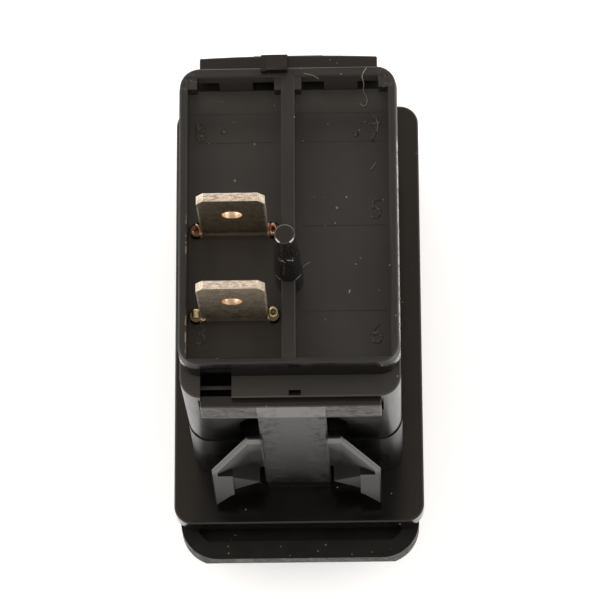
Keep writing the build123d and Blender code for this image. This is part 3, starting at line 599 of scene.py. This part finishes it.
def bracket_finish():
    """Glossy black moulding with duller straps, satin wings and streaked bars, and painted light and shade: a
    warm reflection on the flange, shade on the straps, and lighter heads, tops, bars and wing scoops.
    """
    plastics = settings()[0]
    material, tree, shader, place = new_material("bracket_plastic")
    grain = use(tree, "grain", place, Scale=5.0)
    dust = use(tree, "dust", place, Scale=1.3, Share=0.09)["Mask"]
    scratches = use(tree, "scratches", place, Scale=3.5)["Mask"]
    parts = split(tree, place)
    across = unsigned(tree, parts["X"])
    along = unsigned(tree, parts["Y"])
    upward = step(tree, facing(tree, "Z"), 0.4, 0.9)
    # Regions of the moulding
    legs = times(tree, step(tree, parts["Z"], 0.4, 1.2), step(tree, along, LEG, LEG + 0.3))
    beside = step(tree, across, STRAP_HALF - 0.01, STRAP_HALF + 0.05)
    wings = times(tree, beside, step(tree, parts["Z"], WING_TOP + 0.4, WING_TOP))
    straps = times(tree, legs, without(tree, wings))
    high = times(tree, straps, step(tree, parts["Z"], BAR_FOOT - 0.15, BAR_FOOT))
    # Painted highlights: the strap heads and the end bars' faces lighter
    heads = times(tree, straps, step(tree, parts["Z"], BAR_FOOT + 0.9, BAR_FOOT + 1.15),
                  step(tree, across, STRAP_HALF + 0.05, STRAP_HALF))
    bars = times(tree, high, without(tree, upward),
                 step(tree, across, STRAP_HALF - 0.05, STRAP_HALF + 0.05))
    near_end = step(tree, parts["Y"], 0.0, -1.0)
    inside = plus(tree, *(times(tree, calc(tree, "SUBTRACT", edge, value), share)
                          for value, edge, share in zip((across, parts["Z"]), WING_SHOULDER, WING_SLANT)))
    scoops = times(tree, wings, step(tree, parts["Z"], PAD_TOP, PAD_TOP + 1.2),
                   step(tree, along, 17.6, 17.8))
    # Painted light on the wing scoops near their slanted edge, and on the webs
    flank = times(tree, scoops, step(tree, inside, 2.6, 0.5))
    webs = times(tree, wings, step(tree, across, PAD_INNER, PAD_INNER - 0.03),
                 within(tree, parts["Z"], *WEB_SPAN, 0.3), step(tree, along, WEB_PLACE, WEB_PLACE + 0.1))
    # Painted reflection on the flange's outer parts
    flange_sheen = times(tree, upward, step(tree, parts["Z"], 0.4, 0.2), step(tree, across, 9.5, 11.5))
    # Painted light: upward faces high on the bracket lighter
    tops = times(tree, upward, step(tree, parts["Z"], 18.5, 19.0))
    tube_corners = times(tree, within(tree, parts["Z"], 0.3, 11.0, 0.3),
                         step(tree, along, LEG + 0.2, LEG - 0.1))
    # Wear
    blots = noise(tree, place, 0.75, 6.0, Roughness=0.65)
    # Painted shade in mottled bands on the near straps' sides
    blotched = times(tree, step(tree, blots, 0.48, 0.6), step(tree, across, 0.6, 2.4), straps, near_end, 0.6)
    sanded = noise(tree, place, 7.0, 3.0, Roughness=0.8)
    sanded = times(tree, step(tree, sanded, 0.5, 0.68), straps)
    # Darker streaks break up the bars' painted highlight
    streaks = noise(tree, mapped(tree, place, Scale=(0.12, 1.0, 1.0)), 1.7, 5.0, Roughness=0.7)
    lined = times(tree, bars, near_end, step(tree, streaks, 0.44, 0.60))
    settled = times(tree, dust, upward)
    # Colour
    tint = plastics.bracket_colour
    # The straps rise from the flange's black at the root to this grey, painted shade
    for mask, shade in (
            (flange_sheen, FLANGE_REFLECTION), (times(tree, straps, step(tree, parts["Z"], 0.4, 6.0)), STRAP_TINT),
            (blotched, STRAP_SIDE_SHADE), (times(tree, sanded, 0.35), SANDED_TINT), (flank, SCOOP_LIGHT),
            (webs, WEB_LIGHT), (heads, HEAD_HIGHLIGHT), (tops, TOP_LIGHT), (bars, BAR_HIGHLIGHT),
            (lined, STREAK_TINT), (times(tree, settled, 0.5), plastics.dust_colour)):
        tint = blend_colour(tree, mask, tint, shade)
    # Roughness
    polished = plus(tree, blend_value(tree, grain["Mottle"], *BRACKET_GLOSS), times(tree, scratches, 0.12))
    rough = blend_value(tree, straps, polished, blend_value(tree, grain["Height"], *STRAP_SATIN))
    rough = plus(tree, rough, times(tree, lined, 0.15), times(tree, blotched, 0.5),
                 times(tree, wings, legs, 0.16), times(tree, tube_corners, 0.18))
    # Relief
    relief = plus(tree, times(tree, grain["Height"], most(tree, upward, times(tree, straps, 4.0))),
                  times(tree, bars, streaks, 55.0))
    feed(tree, shader, {"Base Color": tint, "Roughness": rough, "Specular IOR Level": MOULDING_SHINE,
                        "Normal": bump(tree, relief, 0.12, 0.02 * MM)})
    return material


def cap_finish():
    """Satin black rocker cap with fine moulded texture, light scratches, specks and patchy painted light on
    the sides of its near end.
    """
    plastics = settings()[0]
    material, tree, shader, place = new_material("cap_plastic")
    grain = use(tree, "grain", place, Scale=14.0)
    scratches = use(tree, "scratches", place, Scale=2.5)["Mask"]
    specks = use(tree, "dust", place, Scale=1.35, Share=0.55)["Mask"]
    around = without(tree, step(tree, unsigned(tree, facing(tree, "Z")), 0.3, 0.8))
    shown_end = step(tree, split(tree, place)["Y"], -17.0, -20.0)
    end_patches = noise(tree, place, 1.6, 5.0, Roughness=0.75)
    # Patchy painted light on the sides of the cap's near end
    lit_end = times(tree, around, shown_end, step(tree, end_patches, 0.44, 0.6))
    tint = blend_colour(tree, times(tree, grain["Mottle"], 0.25), plastics.cap_colour, CAP_MOTTLE)
    tint = blend_colour(tree, times(tree, lit_end, 0.5), tint, CAP_END_LIGHT)
    colour = blend_colour(tree, times(tree, specks, 0.45), tint, plastics.dust_colour)
    rough = plus(tree, blend_value(tree, grain["Mottle"], *CAP_SATIN), times(tree, lit_end, 0.2))
    rough = calc(tree, "SUBTRACT", rough, times(tree, scratches, 0.08))
    feed(tree, shader, {"Base Color": colour, "Roughness": rough, "Specular IOR Level": CAP_SHINE,
                        "Normal": bump(tree, grain["Height"], 0.35, 0.03 * MM)})
    return material


def tab_finish(row_name):
    """Plated strip with stains and pits, a torn sheared tip, painted highlights along its edges, painted
    bounce light at its foot and dark staked feet.
    """
    metals = settings()[1]
    worn_face, foot_colour = TAB_WEAR[row_name]
    material, tree, shader, place = new_material(f"{row_name}_tab_plating")
    parts = split(tree, mapped(tree, place, Location=(-COLUMN, -ROWS[row_name], -TAB_HOLE)))
    across = unsigned(tree, parts["X"])
    lines = noise(tree, mapped(tree, place, Scale=(0.4, 1.0, 3.0)), 2.5, 6.0, Roughness=0.65)
    stains = noise(tree, place, 0.9, 4.0, Roughness=0.6, Distortion=0.4)
    blotched = step(tree, stains, 0.35, 0.70)
    mottle = noise(tree, place, 3.2, 5.0, Roughness=0.7)
    grooves = noise(tree, mapped(tree, place, Scale=(0.45, 1.6, 1.0)), 3.6, 5.0, Roughness=0.7)
    pitted = step(tree, noise(tree, place, 5.5, 4.0, Roughness=0.8), 0.47, 0.62)
    # Regions of the strip
    level = plus(tree, parts["Z"], scaled(tree, mottle, 0.12, -0.06))
    lead_in = step(tree, facing(tree, "Y"), -0.3, -0.5)
    tip = times(tree, step(tree, level, TIP_RISE - 0.16, TIP_RISE - 0.08),
                without(tree, times(tree, lead_in, 0.75)))
    squares = plus(tree, times(tree, parts["X"], parts["X"]), times(tree, parts["Z"], parts["Z"]))
    wall = step(tree, calc(tree, "SQRT", squares), HOLE_RADIUS + 0.03, HOLE_RADIUS + 0.01)
    # Painted bounce light from the floor on the lowest part of the tab
    foot = step(tree, parts["Z"], FLOOR - TAB_HOLE + 0.9, FLOOR - TAB_HOLE + 0.25)
    bead = times(tree, step(tree, across, BEAD_EDGE, BEAD_EDGE + 0.1),
                 step(tree, parts["Z"], BEAD_TOP, BEAD_TOP - 0.3))
    # Painted highlight along the tab edges
    edges = times(tree, step(tree, across, TAB_EDGE, TAB_EDGE + 0.1), without(tree, bead),
                  step(tree, lines, 0.35, 0.6))
    # Colour
    sheared = blend_colour(tree, step(tree, grooves, 0.42, 0.64), SHEARED_METAL, TORN_METAL)
    colour = metals.plating_colour
    for mask, shade in (
            (times(tree, blotched, 0.7), metals.tarnish_colour), (times(tree, pitted, 0.55), PIT_TINT),
            (times(tree, edges, 0.8), EDGE_HIGHLIGHT), (times(tree, foot, 0.7), FOOT_BOUNCE_LIGHT),
            (tip, sheared), (wall, HOLE_WALL), (bead, foot_colour)):
        colour = blend_colour(tree, mask, colour, shade)
    # Roughness, metal and relief
    rough = blend_value(tree, blotched, *PLATING_GLOSS)
    rough = blend_value(tree, wall, blend_value(tree, tip, rough, 0.45), 0.3)
    # The worn face, and the edges and foot that carry painted light, made less metallic
    matt = times(tree, most(tree, times(tree, edges, 0.6), times(tree, foot, 0.45), worn_face / 2),
                 without(tree, most(tree, wall, bead)))
    relief = plus(tree, times(tree, lines, 0.5), times(tree, mottle, plus(tree, times(tree, tip, 0.9), 0.25)))
    feed(tree, shader, {"Base Color": colour, "Roughness": rough, "Metallic": without(tree, matt),
                        "Normal": bump(tree, relief, 0.22, 0.03 * MM)})
    return material


def lug_finish(name, colour_value):
    """Staked, smeared metal of a lug."""
    material, tree, shader, place = new_material(name)
    smears = noise(tree, place, 4.0, 4.0, Distortion=1.2)
    dark = tuple(0.45 * part for part in colour_value[:3]) + (1.0,)
    colour = blend_colour(tree, step(tree, smears, 0.45, 0.7), tuple(colour_value), dark)
    feed(tree, shader, {"Base Color": colour, "Roughness": step(tree, smears, 0.3, 0.7, 0.2, 0.4),
                        "Metallic": 1.0, "Normal": bump(tree, smears, 0.5, 0.04 * MM)})
    return material


def plain_finish(name, colour_value, rough_low, rough_high, metallic=0.0, scale=6.0):
    """Finish of a hidden piece: grain, mottling and a little colour change."""
    material, tree, shader, place = new_material(name)
    grain = use(tree, "grain", place, Scale=scale)
    darker = tuple(0.7 * part for part in colour_value) + (1.0,)
    colour = blend_colour(tree, times(tree, grain["Mottle"], 0.5), tuple(colour_value) + (1.0,), darker)
    feed(tree, shader, {"Base Color": colour, "Metallic": metallic,
                        "Roughness": blend_value(tree, grain["Mottle"], rough_low, rough_high),
                        "Normal": bump(tree, grain["Height"], 0.2, 0.02 * MM)})
    return material


def numeral_finish():
    """Moulded numerals, lightly worn and dusted along their strokes."""
    plastics = settings()[0]
    material, tree, shader, place = new_material("numeral_plastic")
    wear = step(tree, noise(tree, place, 4.0, 5.0), 0.5, 0.62)
    specks = use(tree, "dust", place, Scale=2.8, Share=0.55)["Mask"]
    colour = blend_colour(tree, wear, NUMERAL_TINT, NUMERAL_WORN)
    colour = blend_colour(tree, times(tree, specks, 0.8), colour, plastics.dust_colour)
    feed(tree, shader, {"Base Color": colour, "Roughness": 0.34})
    return material


def lint_finish():
    """Pale cotton lint."""
    material, tree, shader, place = new_material("lint_fibre")
    fluff = noise(tree, place, 6.0, 3.0)
    feed(tree, shader, {"Base Color": blend_colour(tree, fluff, *LINT_TINTS), "Roughness": 0.9,
                        "Normal": bump(tree, fluff, 0.6, 0.03 * MM)})
    return material


# Pieces

def dress(node_name, material):
    """Gives a CAD node its finish."""
    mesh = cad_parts[node_name].data
    mesh.materials.clear()
    mesh.materials.append(material)


def add_piece(name, mesh, material, body="housing"):
    """Links a finished mesh as a piece riding on a body."""
    mesh.name = name
    mesh.materials.clear()
    mesh.materials.append(material)
    piece = bpy.data.objects.new(name, mesh)
    bpy.context.scene.collection.objects.link(piece)
    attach(piece, body)


def mesh_of(bm):
    """Mesh from a bmesh, with its normals pointing outwards."""
    bmesh.ops.recalc_face_normals(bm, faces=bm.faces)
    mesh = bpy.data.meshes.new("piece")
    bm.to_mesh(mesh)
    bm.free()
    mesh.shade_smooth()
    return mesh


def mesh_of_curve(curve):
    """Mesh from a curve or a text."""
    holder = bpy.data.objects.new("holder", curve)
    bpy.context.scene.collection.objects.link(holder)
    bpy.context.view_layer.update()
    evaluated = holder.evaluated_get(bpy.context.evaluated_depsgraph_get())
    mesh = bpy.data.meshes.new_from_object(evaluated)
    bpy.data.objects.remove(holder)
    return mesh


def numeral_mesh(text, place, height, relief):
    """Raised numeral, centred over its place."""
    curve = bpy.data.curves.new("numeral", "FONT")
    curve.body = text
    curve.align_x = "CENTER"
    curve.align_y = "CENTER"
    curve.size = height / FONT_HEIGHT
    curve.extrude = relief
    curve.bevel_depth = relief * NUMERAL_BEVEL
    curve.bevel_resolution = 1
    mesh = mesh_of_curve(curve)
    low = Vector(map(min, *(v.co for v in mesh.vertices)))
    high = Vector(map(max, *(v.co for v in mesh.vertices)))
    middle = (low + high) / 2
    narrow = Matrix.Diagonal((NUMERAL_WIDTH, 1.0, 1.0, 1.0))
    centred = Matrix.Translation((-middle.x, -middle.y, 0.0))
    mesh.transform(Matrix.Translation(place) @ narrow @ centred)
    return mesh


def ring_mesh(major, minor, stretch, place, turn=0.0, arc=FULL_TURN):
    """Ring or open curl of staked metal, spun from a round section."""
    bm = bmesh.new()
    section = bmesh.ops.create_circle(bm, segments=RING_SIDES, radius=minor * MM)["verts"]
    bmesh.ops.rotate(bm, verts=section, cent=(0, 0, 0), matrix=Matrix.Rotation(math.radians(90), 3, "X"))
    bmesh.ops.translate(bm, verts=section, vec=(major * MM, 0, 0))
    full = arc >= FULL_TURN
    bmesh.ops.spin(bm, geom=list(bm.verts) + list(bm.edges), cent=(0, 0, 0), axis=(0, 0, 1),
                   angle=math.radians(arc), steps=RING_STEPS, use_merge=full)
    if not full:
        bmesh.ops.holes_fill(bm, edges=[edge for edge in bm.edges if edge.is_boundary], sides=0)
    bmesh.ops.remove_doubles(bm, verts=bm.verts, dist=TOUCHING * MM)
    lean = Matrix.Rotation(math.radians(RING_LEAN), 4, "X") @ Matrix.Rotation(math.radians(turn), 4, "Z")
    move = Matrix.Translation(Vector(place) * MM) @ lean @ Matrix.Diagonal((1.0, stretch, 1.0, 1.0))
    bmesh.ops.transform(bm, matrix=move, verts=bm.verts)
    return mesh_of(bm)


def block_mesh(size, place, lean):
    """Rounded staked block."""
    size = [side * MM for side in size]
    bm = bmesh.new()
    bmesh.ops.create_cube(bm, size=1.0)
    bmesh.ops.scale(bm, vec=size, verts=bm.verts)
    bmesh.ops.bevel(bm, geom=list(bm.edges), offset=min(size) * BLOCK_ROUNDING, segments=3, profile=0.5,
                    affect="EDGES", material=-1)
    move = Matrix.Translation(Vector(place) * MM) @ Matrix.Rotation(math.radians(lean), 4, "X")
    bmesh.ops.transform(bm, matrix=move, verts=bm.verts)
    return mesh_of(bm)


def pip_mesh(place):
    """Small round pip on a well floor."""
    bm = bmesh.new()
    bmesh.ops.create_cone(bm, cap_ends=True, segments=PIP_SIDES, radius1=PIP_FOOT * MM,
                          radius2=PIP_TOP * MM, depth=PIP_HEIGHT * MM)
    bmesh.ops.translate(bm, vec=Vector(place) * MM, verts=bm.verts)
    return mesh_of(bm)


def grain_mesh(grains):
    """Loose dust grains lying on the mouldings, as one mesh."""
    bm = bmesh.new()
    for x, y, z, radius, stretch in grains:
        turn = Matrix.Rotation(3.0 * x + y, 4, "Z")
        shape = Matrix.Diagonal((radius * stretch, radius, radius * GRAIN_FLATNESS, 1.0))
        move = Matrix.Translation(Vector((x, y, z)) * MM) @ turn @ shape
        bmesh.ops.create_icosphere(bm, subdivisions=1, radius=MM, matrix=move)
    return mesh_of(bm)


def fibre_mesh(points, radius):
    """Thin round fibre along a smooth spline."""
    curve = bpy.data.curves.new("fibre", "CURVE")
    curve.dimensions = "3D"
    spline = curve.splines.new("NURBS")
    spline.points.add(len(points) - 1)
    for point, place in zip(spline.points, points):
        point.co = (place[0] * MM, place[1] * MM, place[2] * MM, 1.0)
    spline.order_u = 3
    spline.use_endpoint_u = True
    spline.resolution_u = LINT_STEPS
    curve.bevel_depth = radius
    curve.bevel_resolution = 2
    curve.use_fill_caps = True
    return mesh_of_curve(curve)


class SWITCH_OT_mouldings(bpy.types.Operator):
    """Finish the housing, bracket and rocker cap"""

    bl_idname = "switch.mouldings"
    bl_label = "Mouldings"

    def execute(self, context):
        dress("terminal_base", housing_finish())
        dress("mounting_bracket", bracket_finish())
        dress("rocker_cap", cap_finish())
        return {"FINISHED"}


class SWITCH_OT_terminals(bpy.types.Operator):
    """Finish the two push-on tabs"""

    bl_idname = "switch.terminals"
    bl_label = "Terminals"

    def execute(self, context):
        dress("common_terminal", tab_finish("common"))
        dress("load_terminal", tab_finish("load"))
        return {"FINISHED"}


class SWITCH_OT_mechanism(bpy.types.Operator):
    """Finish the pieces of the hidden mechanism"""

    bl_idname = "switch.mechanism"
    bl_label = "Mechanism"

    def execute(self, context):
        dress("rocker_stem", plain_finish("stem_plastic", (0.03, 0.03, 0.03), 0.35, 0.5))
        dress("plunger", plain_finish("plunger_plastic", (0.6, 0.58, 0.52), 0.4, 0.55))
        dress("plunger_spring", plain_finish("spring_steel", (0.55, 0.55, 0.56), 0.22, 0.35, 1.0, 12.0))
        dress("pivot_pin", plain_finish("pin_steel", (0.6, 0.6, 0.61), 0.18, 0.3, 1.0, 12.0))
        dress("contact_blade", plain_finish("blade_copper", (0.86, 0.5, 0.3), 0.25, 0.4, 1.0))
        silver = plain_finish("contact_silver", (0.85, 0.84, 0.8), 0.2, 0.35, 1.0)
        dress("fixed_contact", silver)
        dress("moving_contact", silver)
        dress("base_seal", plain_finish("seal_rubber", (0.025, 0.025, 0.025), 0.6, 0.75))
        return {"FINISHED"}


class SWITCH_OT_numerals(bpy.types.Operator):
    """Raise the terminal numerals and pips on the well floors"""

    bl_idname = "switch.numerals"
    bl_label = "Numerals"

    places = {"8": (-8.4, 10.05), "7": (8.2, 9.8), "5": (8.2, 2.05), "6": (8.12, -10.3), "3": (-8.4, -10.25)}
    pips = {"left": (-6.25, 10.0), "right": (6.4, 9.5)}

    def execute(self, context):
        details = settings()[2]
        material = numeral_finish()
        for text, (x, y) in self.places.items():
            mesh = numeral_mesh(text, Vector((x * MM, y * MM, FLOOR * MM)), details.numeral_height,
                                details.numeral_relief)
            add_piece(f"terminal_numeral_{text}", mesh, material)
        for side, place in self.pips.items():
            add_piece(f"moulding_pip_{side}", pip_mesh((*place, FLOOR)), material)
        return {"FINISHED"}


class SWITCH_OT_lugs(bpy.types.Operator):
    """Stake the lugs beside both tabs"""

    bl_idname = "switch.lugs"
    bl_label = "Staked lugs"

    def execute(self, context):
        metals = settings()[1]
        copper = lug_finish("staked_copper", metals.copper_colour)
        brass = lug_finish("staked_brass", metals.brass_colour)
        lugs = {
            "common_curl_left": (ring_mesh(0.36, 0.13, 1.4, (-8.85, -0.1, 26.62), 200.0, 250.0), copper),
            "common_ring_right": (ring_mesh(0.27, 0.12, 1.6, (-1.5, -0.1, 26.66)), copper),
            "common_burr_right": (block_mesh((0.38, 0.5, 0.5), (-1.98, 0.25, 26.7), 15.0), copper),
            "load_block_left": (block_mesh((0.78, 0.95, 0.6), (-8.78, -8.35, 26.5), 12.0), brass),
            "load_ring_left": (ring_mesh(0.25, 0.1, 1.5, (-8.12, -8.6, 26.5)), brass),
            "load_ring_right": (ring_mesh(0.36, 0.15, 1.15, (-1.5, -8.3, 26.62)), brass),
        }
        for name, (mesh, material) in lugs.items():
            add_piece(name, mesh, material)
        return {"FINISHED"}


class SWITCH_OT_lint(bpy.types.Operator):
    """Lay the lint fibres and dust grains that the switch has picked up"""

    bl_idname = "switch.lint"
    bl_label = "Lint"

    # Each fibre's points in millimetres, and its share of the lint radius
    fibres = {
        "lint_long": ([(7.5, 14.8, 29.93), (6.95, 14.1, 29.93), (7.25, 13.6, 29.0), (7.1, 13.4, 27.4),
                       (7.6, 13.1, 26.15), (7.3, 12.2, 26.07), (6.8, 12.6, 26.2)], 1.0),
        "lint_short": ([(8.25, 6.6, 26.05), (8.05, 6.3, 26.07), (7.77, 5.94, 26.05)], 0.9),
        "lint_hook": ([(8.3, 11.2, 26.05), (8.58, 10.5, 26.08), (8.43, 9.8, 26.05)], 0.6),
        "lint_post": ([(1.2, -4.3, 27.4), (1.5, -3.95, 27.6), (2.0, -3.8, 27.75)], 0.6),
        "lint_rim": ([(2.97, 13.98, 29.3), (2.5, 14.1, 29.9), (2.13, 14.19, 29.93),
                      (1.56, 14.35, 29.93)], 0.6),
    }
    # Each grain's place and radius in millimetres, and how long it is for its width
    grains = [
        (-5.19, 5.02, FLOOR, 0.12, 1.0), (-1.42, 12.62, FLOOR, 0.06, 1.0), (0.62, 9.97, RIM, 0.06, 1.0),
        (-7.97, 9.44, FLOOR, 0.06, 1.4), (4.35, 0.63, FLOOR, 0.07, 1.3), (3.4, 0.36, FLOOR, 0.05, 1.0),
        (5.42, 3.21, FLOOR, 0.09, 1.2), (2.39, 3.27, FLOOR, 0.05, 1.0), (6.23, -3.49, FLOOR, 0.08, 1.2),
        (9.39, -3.68, FLOOR, 0.06, 1.0), (6.74, 9.99, FLOOR, 0.06, 1.5), (7.25, 10.8, FLOOR, 0.07, 1.0),
        (5.63, -6.19, FLOOR, 0.09, 3.0), (8.41, -6.08, FLOOR, 0.06, 1.0),
        (10.34, -7.84, 28.79, 0.09, 1.3), (10.35, -10.30, 28.76, 0.08, 1.2), (9.95, -9.78, RIM, 0.06, 1.0),
        (10.29, -12.86, 26.60, 0.09, 1.3), (9.91, -13.59, 27.47, 0.09, 1.0), (8.61, -14.28, 28.91, 0.07, 1.2),
        (10.03, -14.53, FLOOR, 0.08, 1.0), (9.47, -3.60, FLOOR, 0.07, 1.0), (-5.28, 10.99, FLOOR, 0.05, 1.0),
        (1.32, 8.95, FLOOR, 0.05, 1.0), (-6.43, 13.05, FLOOR, 0.05, 1.2), (-8.34, 9.61, FLOOR, 0.06, 1.3),
        (-7.67, 8.80, FLOOR, 0.06, 1.0), (8.13, 11.38, FLOOR, 0.05, 1.0), (3.72, 10.64, FLOOR, 0.05, 1.3),
        (4.00, 16.57, 27.60, 0.04, 1.6), (4.66, 16.25, 27.60, 0.04, 1.4), (5.07, 14.24, RIM, 0.05, 1.5),
        (10.62, 0.81, 0.0, 0.05, 1.0), (10.10, -22.18, -1.06, 0.08, 1.0),
    ]
    cap_grains = [
        (-7.04, -22.94, -4.03, 0.04, 1.0), (-1.04, -24.80, -3.2, 0.045, 1.0), (1.79, -24.38, -3.2, 0.05, 1.4),
        (5.22, -24.75, -3.2, 0.045, 1.0), (7.24, -24.55, -3.2, 0.04, 1.5),
    ]

    def execute(self, context):
        radius = settings()[2].lint_radius
        material = lint_finish()
        for name, (points, share) in self.fibres.items():
            add_piece(name, fibre_mesh(points, radius * share), material)
        add_piece("dust_grains", grain_mesh(self.grains), material)
        add_piece("cap_grains", grain_mesh(self.cap_grains), material, "rocker")
        return {"FINISHED"}


# Studio

def area_light(name, place, size, colour, power):
    """Soft rectangular light aimed at the switch."""
    data = bpy.data.lights.new(name, "AREA")
    data.shape = "RECTANGLE"
    data.size = size[0]
    data.size_y = size[1]
    data.energy = power
    data.color = colour
    light = bpy.data.objects.new(name, data)
    light.location = place
    light.rotation_euler = (Vector(LIGHT_TARGET) - Vector(place)).to_track_quat("-Z", "Y").to_euler()
    bpy.context.scene.collection.objects.link(light)


def studio_world():
    """Pale surroundings, brighter at the horizon than overhead."""
    world = bpy.data.worlds.new("studio_world")
    world.use_nodes = True
    tree = world.node_tree
    coords = tree.nodes.new("ShaderNodeTexCoord").outputs
    overhead = step(tree, split(tree, coords["Generated"])["Z"], 0.15, 0.85)
    feed(tree, tree.nodes["Background"], {"Color": blend_colour(tree, overhead, *SKY_TINTS),
                                          "Strength": blend_value(tree, overhead, *SKY_STRENGTHS)})
    bpy.context.scene.world = world


def floor_finish():
    """Pale matt studio floor."""
    material, tree, shader, place = new_material("studio_floor")
    soft = noise(tree, place, 0.02, 2.0)
    feed(tree, shader, {"Base Color": blend_colour(tree, soft, *GROUND_TINTS), "Roughness": 0.9,
                        "Emission Color": WHITE, "Emission Strength": GROUND_GLOW})
    return material


def studio_floor(size):
    """Wide floor just under the switch."""
    bm = bmesh.new()
    bmesh.ops.create_grid(bm, x_segments=8, y_segments=8, size=size / 2)
    bmesh.ops.translate(bm, verts=bm.verts, vec=(0.0, 0.0, CAD_BOX[0].z - GROUND_GAP))
    mesh = bpy.data.meshes.new("studio_floor")
    bm.to_mesh(mesh)
    bm.free()
    mesh.materials.append(floor_finish())
    floor = bpy.data.objects.new("studio_floor", mesh)
    bpy.context.scene.collection.objects.link(floor)


def studio_camera(studio):
    """Camera at the photograph's viewing angle."""
    data = bpy.data.cameras.new("camera")
    data.lens = studio.camera_lens
    data.sensor_width = SENSOR_WIDTH
    data.clip_start = CLIP_START
    data.clip_end = CLIP_END
    camera = bpy.data.objects.new("camera", data)
    forward = Vector(CAMERA_FORWARD).normalized()
    right = forward.cross(Vector(CAMERA_UP)).normalized()
    up = right.cross(forward)
    turned = Matrix((right, up, -forward)).transposed().to_4x4()
    camera.matrix_world = Matrix.Translation(Vector(studio.camera_place)) @ turned
    bpy.context.scene.collection.objects.link(camera)
    bpy.context.scene.camera = camera


class SWITCH_OT_stage(bpy.types.Operator):
    """Set the floor, lights and camera"""

    bl_idname = "switch.stage"
    bl_label = "Stage"

    def execute(self, context):
        studio = settings()[3]
        studio_floor(studio.floor_size)
        studio_world()
        for name, (place, size, colour) in LIGHTS.items():
            area_light(name, place, size, colour, studio.light_power)
        studio_camera(studio)
        context.scene.view_settings.view_transform = "Standard"
        return {"FINISHED"}


class SWITCH_PT_panel(bpy.types.Panel):
    """Buttons and values of the rocker switch"""

    bl_idname = "SWITCH_PT_panel"
    bl_label = "Rocker Switch"
    bl_space_type = "VIEW_3D"
    bl_region_type = "UI"
    bl_category = "Rocker Switch"

    def draw(self, context):
        layout = self.layout
        for operator in OPERATORS:
            layout.operator(operator.bl_idname)
        for name in POINTERS:
            group = getattr(context.scene, name)
            box = layout.box()
            for key in group.__annotations__:
                box.prop(group, key)


OPERATORS = (
    SWITCH_OT_mouldings,
    SWITCH_OT_terminals,
    SWITCH_OT_mechanism,
    SWITCH_OT_numerals,
    SWITCH_OT_lugs,
    SWITCH_OT_lint,
    SWITCH_OT_stage,
)
POINTERS = {
    "switch_plastics": PlasticSettings,
    "switch_metals": MetalSettings,
    "switch_details": DetailSettings,
    "switch_studio": StudioSettings,
}
CLASSES = (*POINTERS.values(), *OPERATORS, SWITCH_PT_panel)


def register():
    """Registers the classes and the scene's property groups."""
    for cls in CLASSES:
        bpy.utils.register_class(cls)
    for name, cls in POINTERS.items():
        setattr(bpy.types.Scene, name, bpy.props.PointerProperty(type=cls))


def unregister():
    """Removes what register added."""
    for name in POINTERS:
        delattr(bpy.types.Scene, name)
    for cls in reversed(CLASSES):
        bpy.utils.unregister_class(cls)


def main():
    """Builds every piece and the stage."""
    register()
    for operator in OPERATORS:
        family, name = operator.bl_idname.split(".")
        getattr(getattr(bpy.ops, family), name)()


if __name__ == "__main__":
    main()
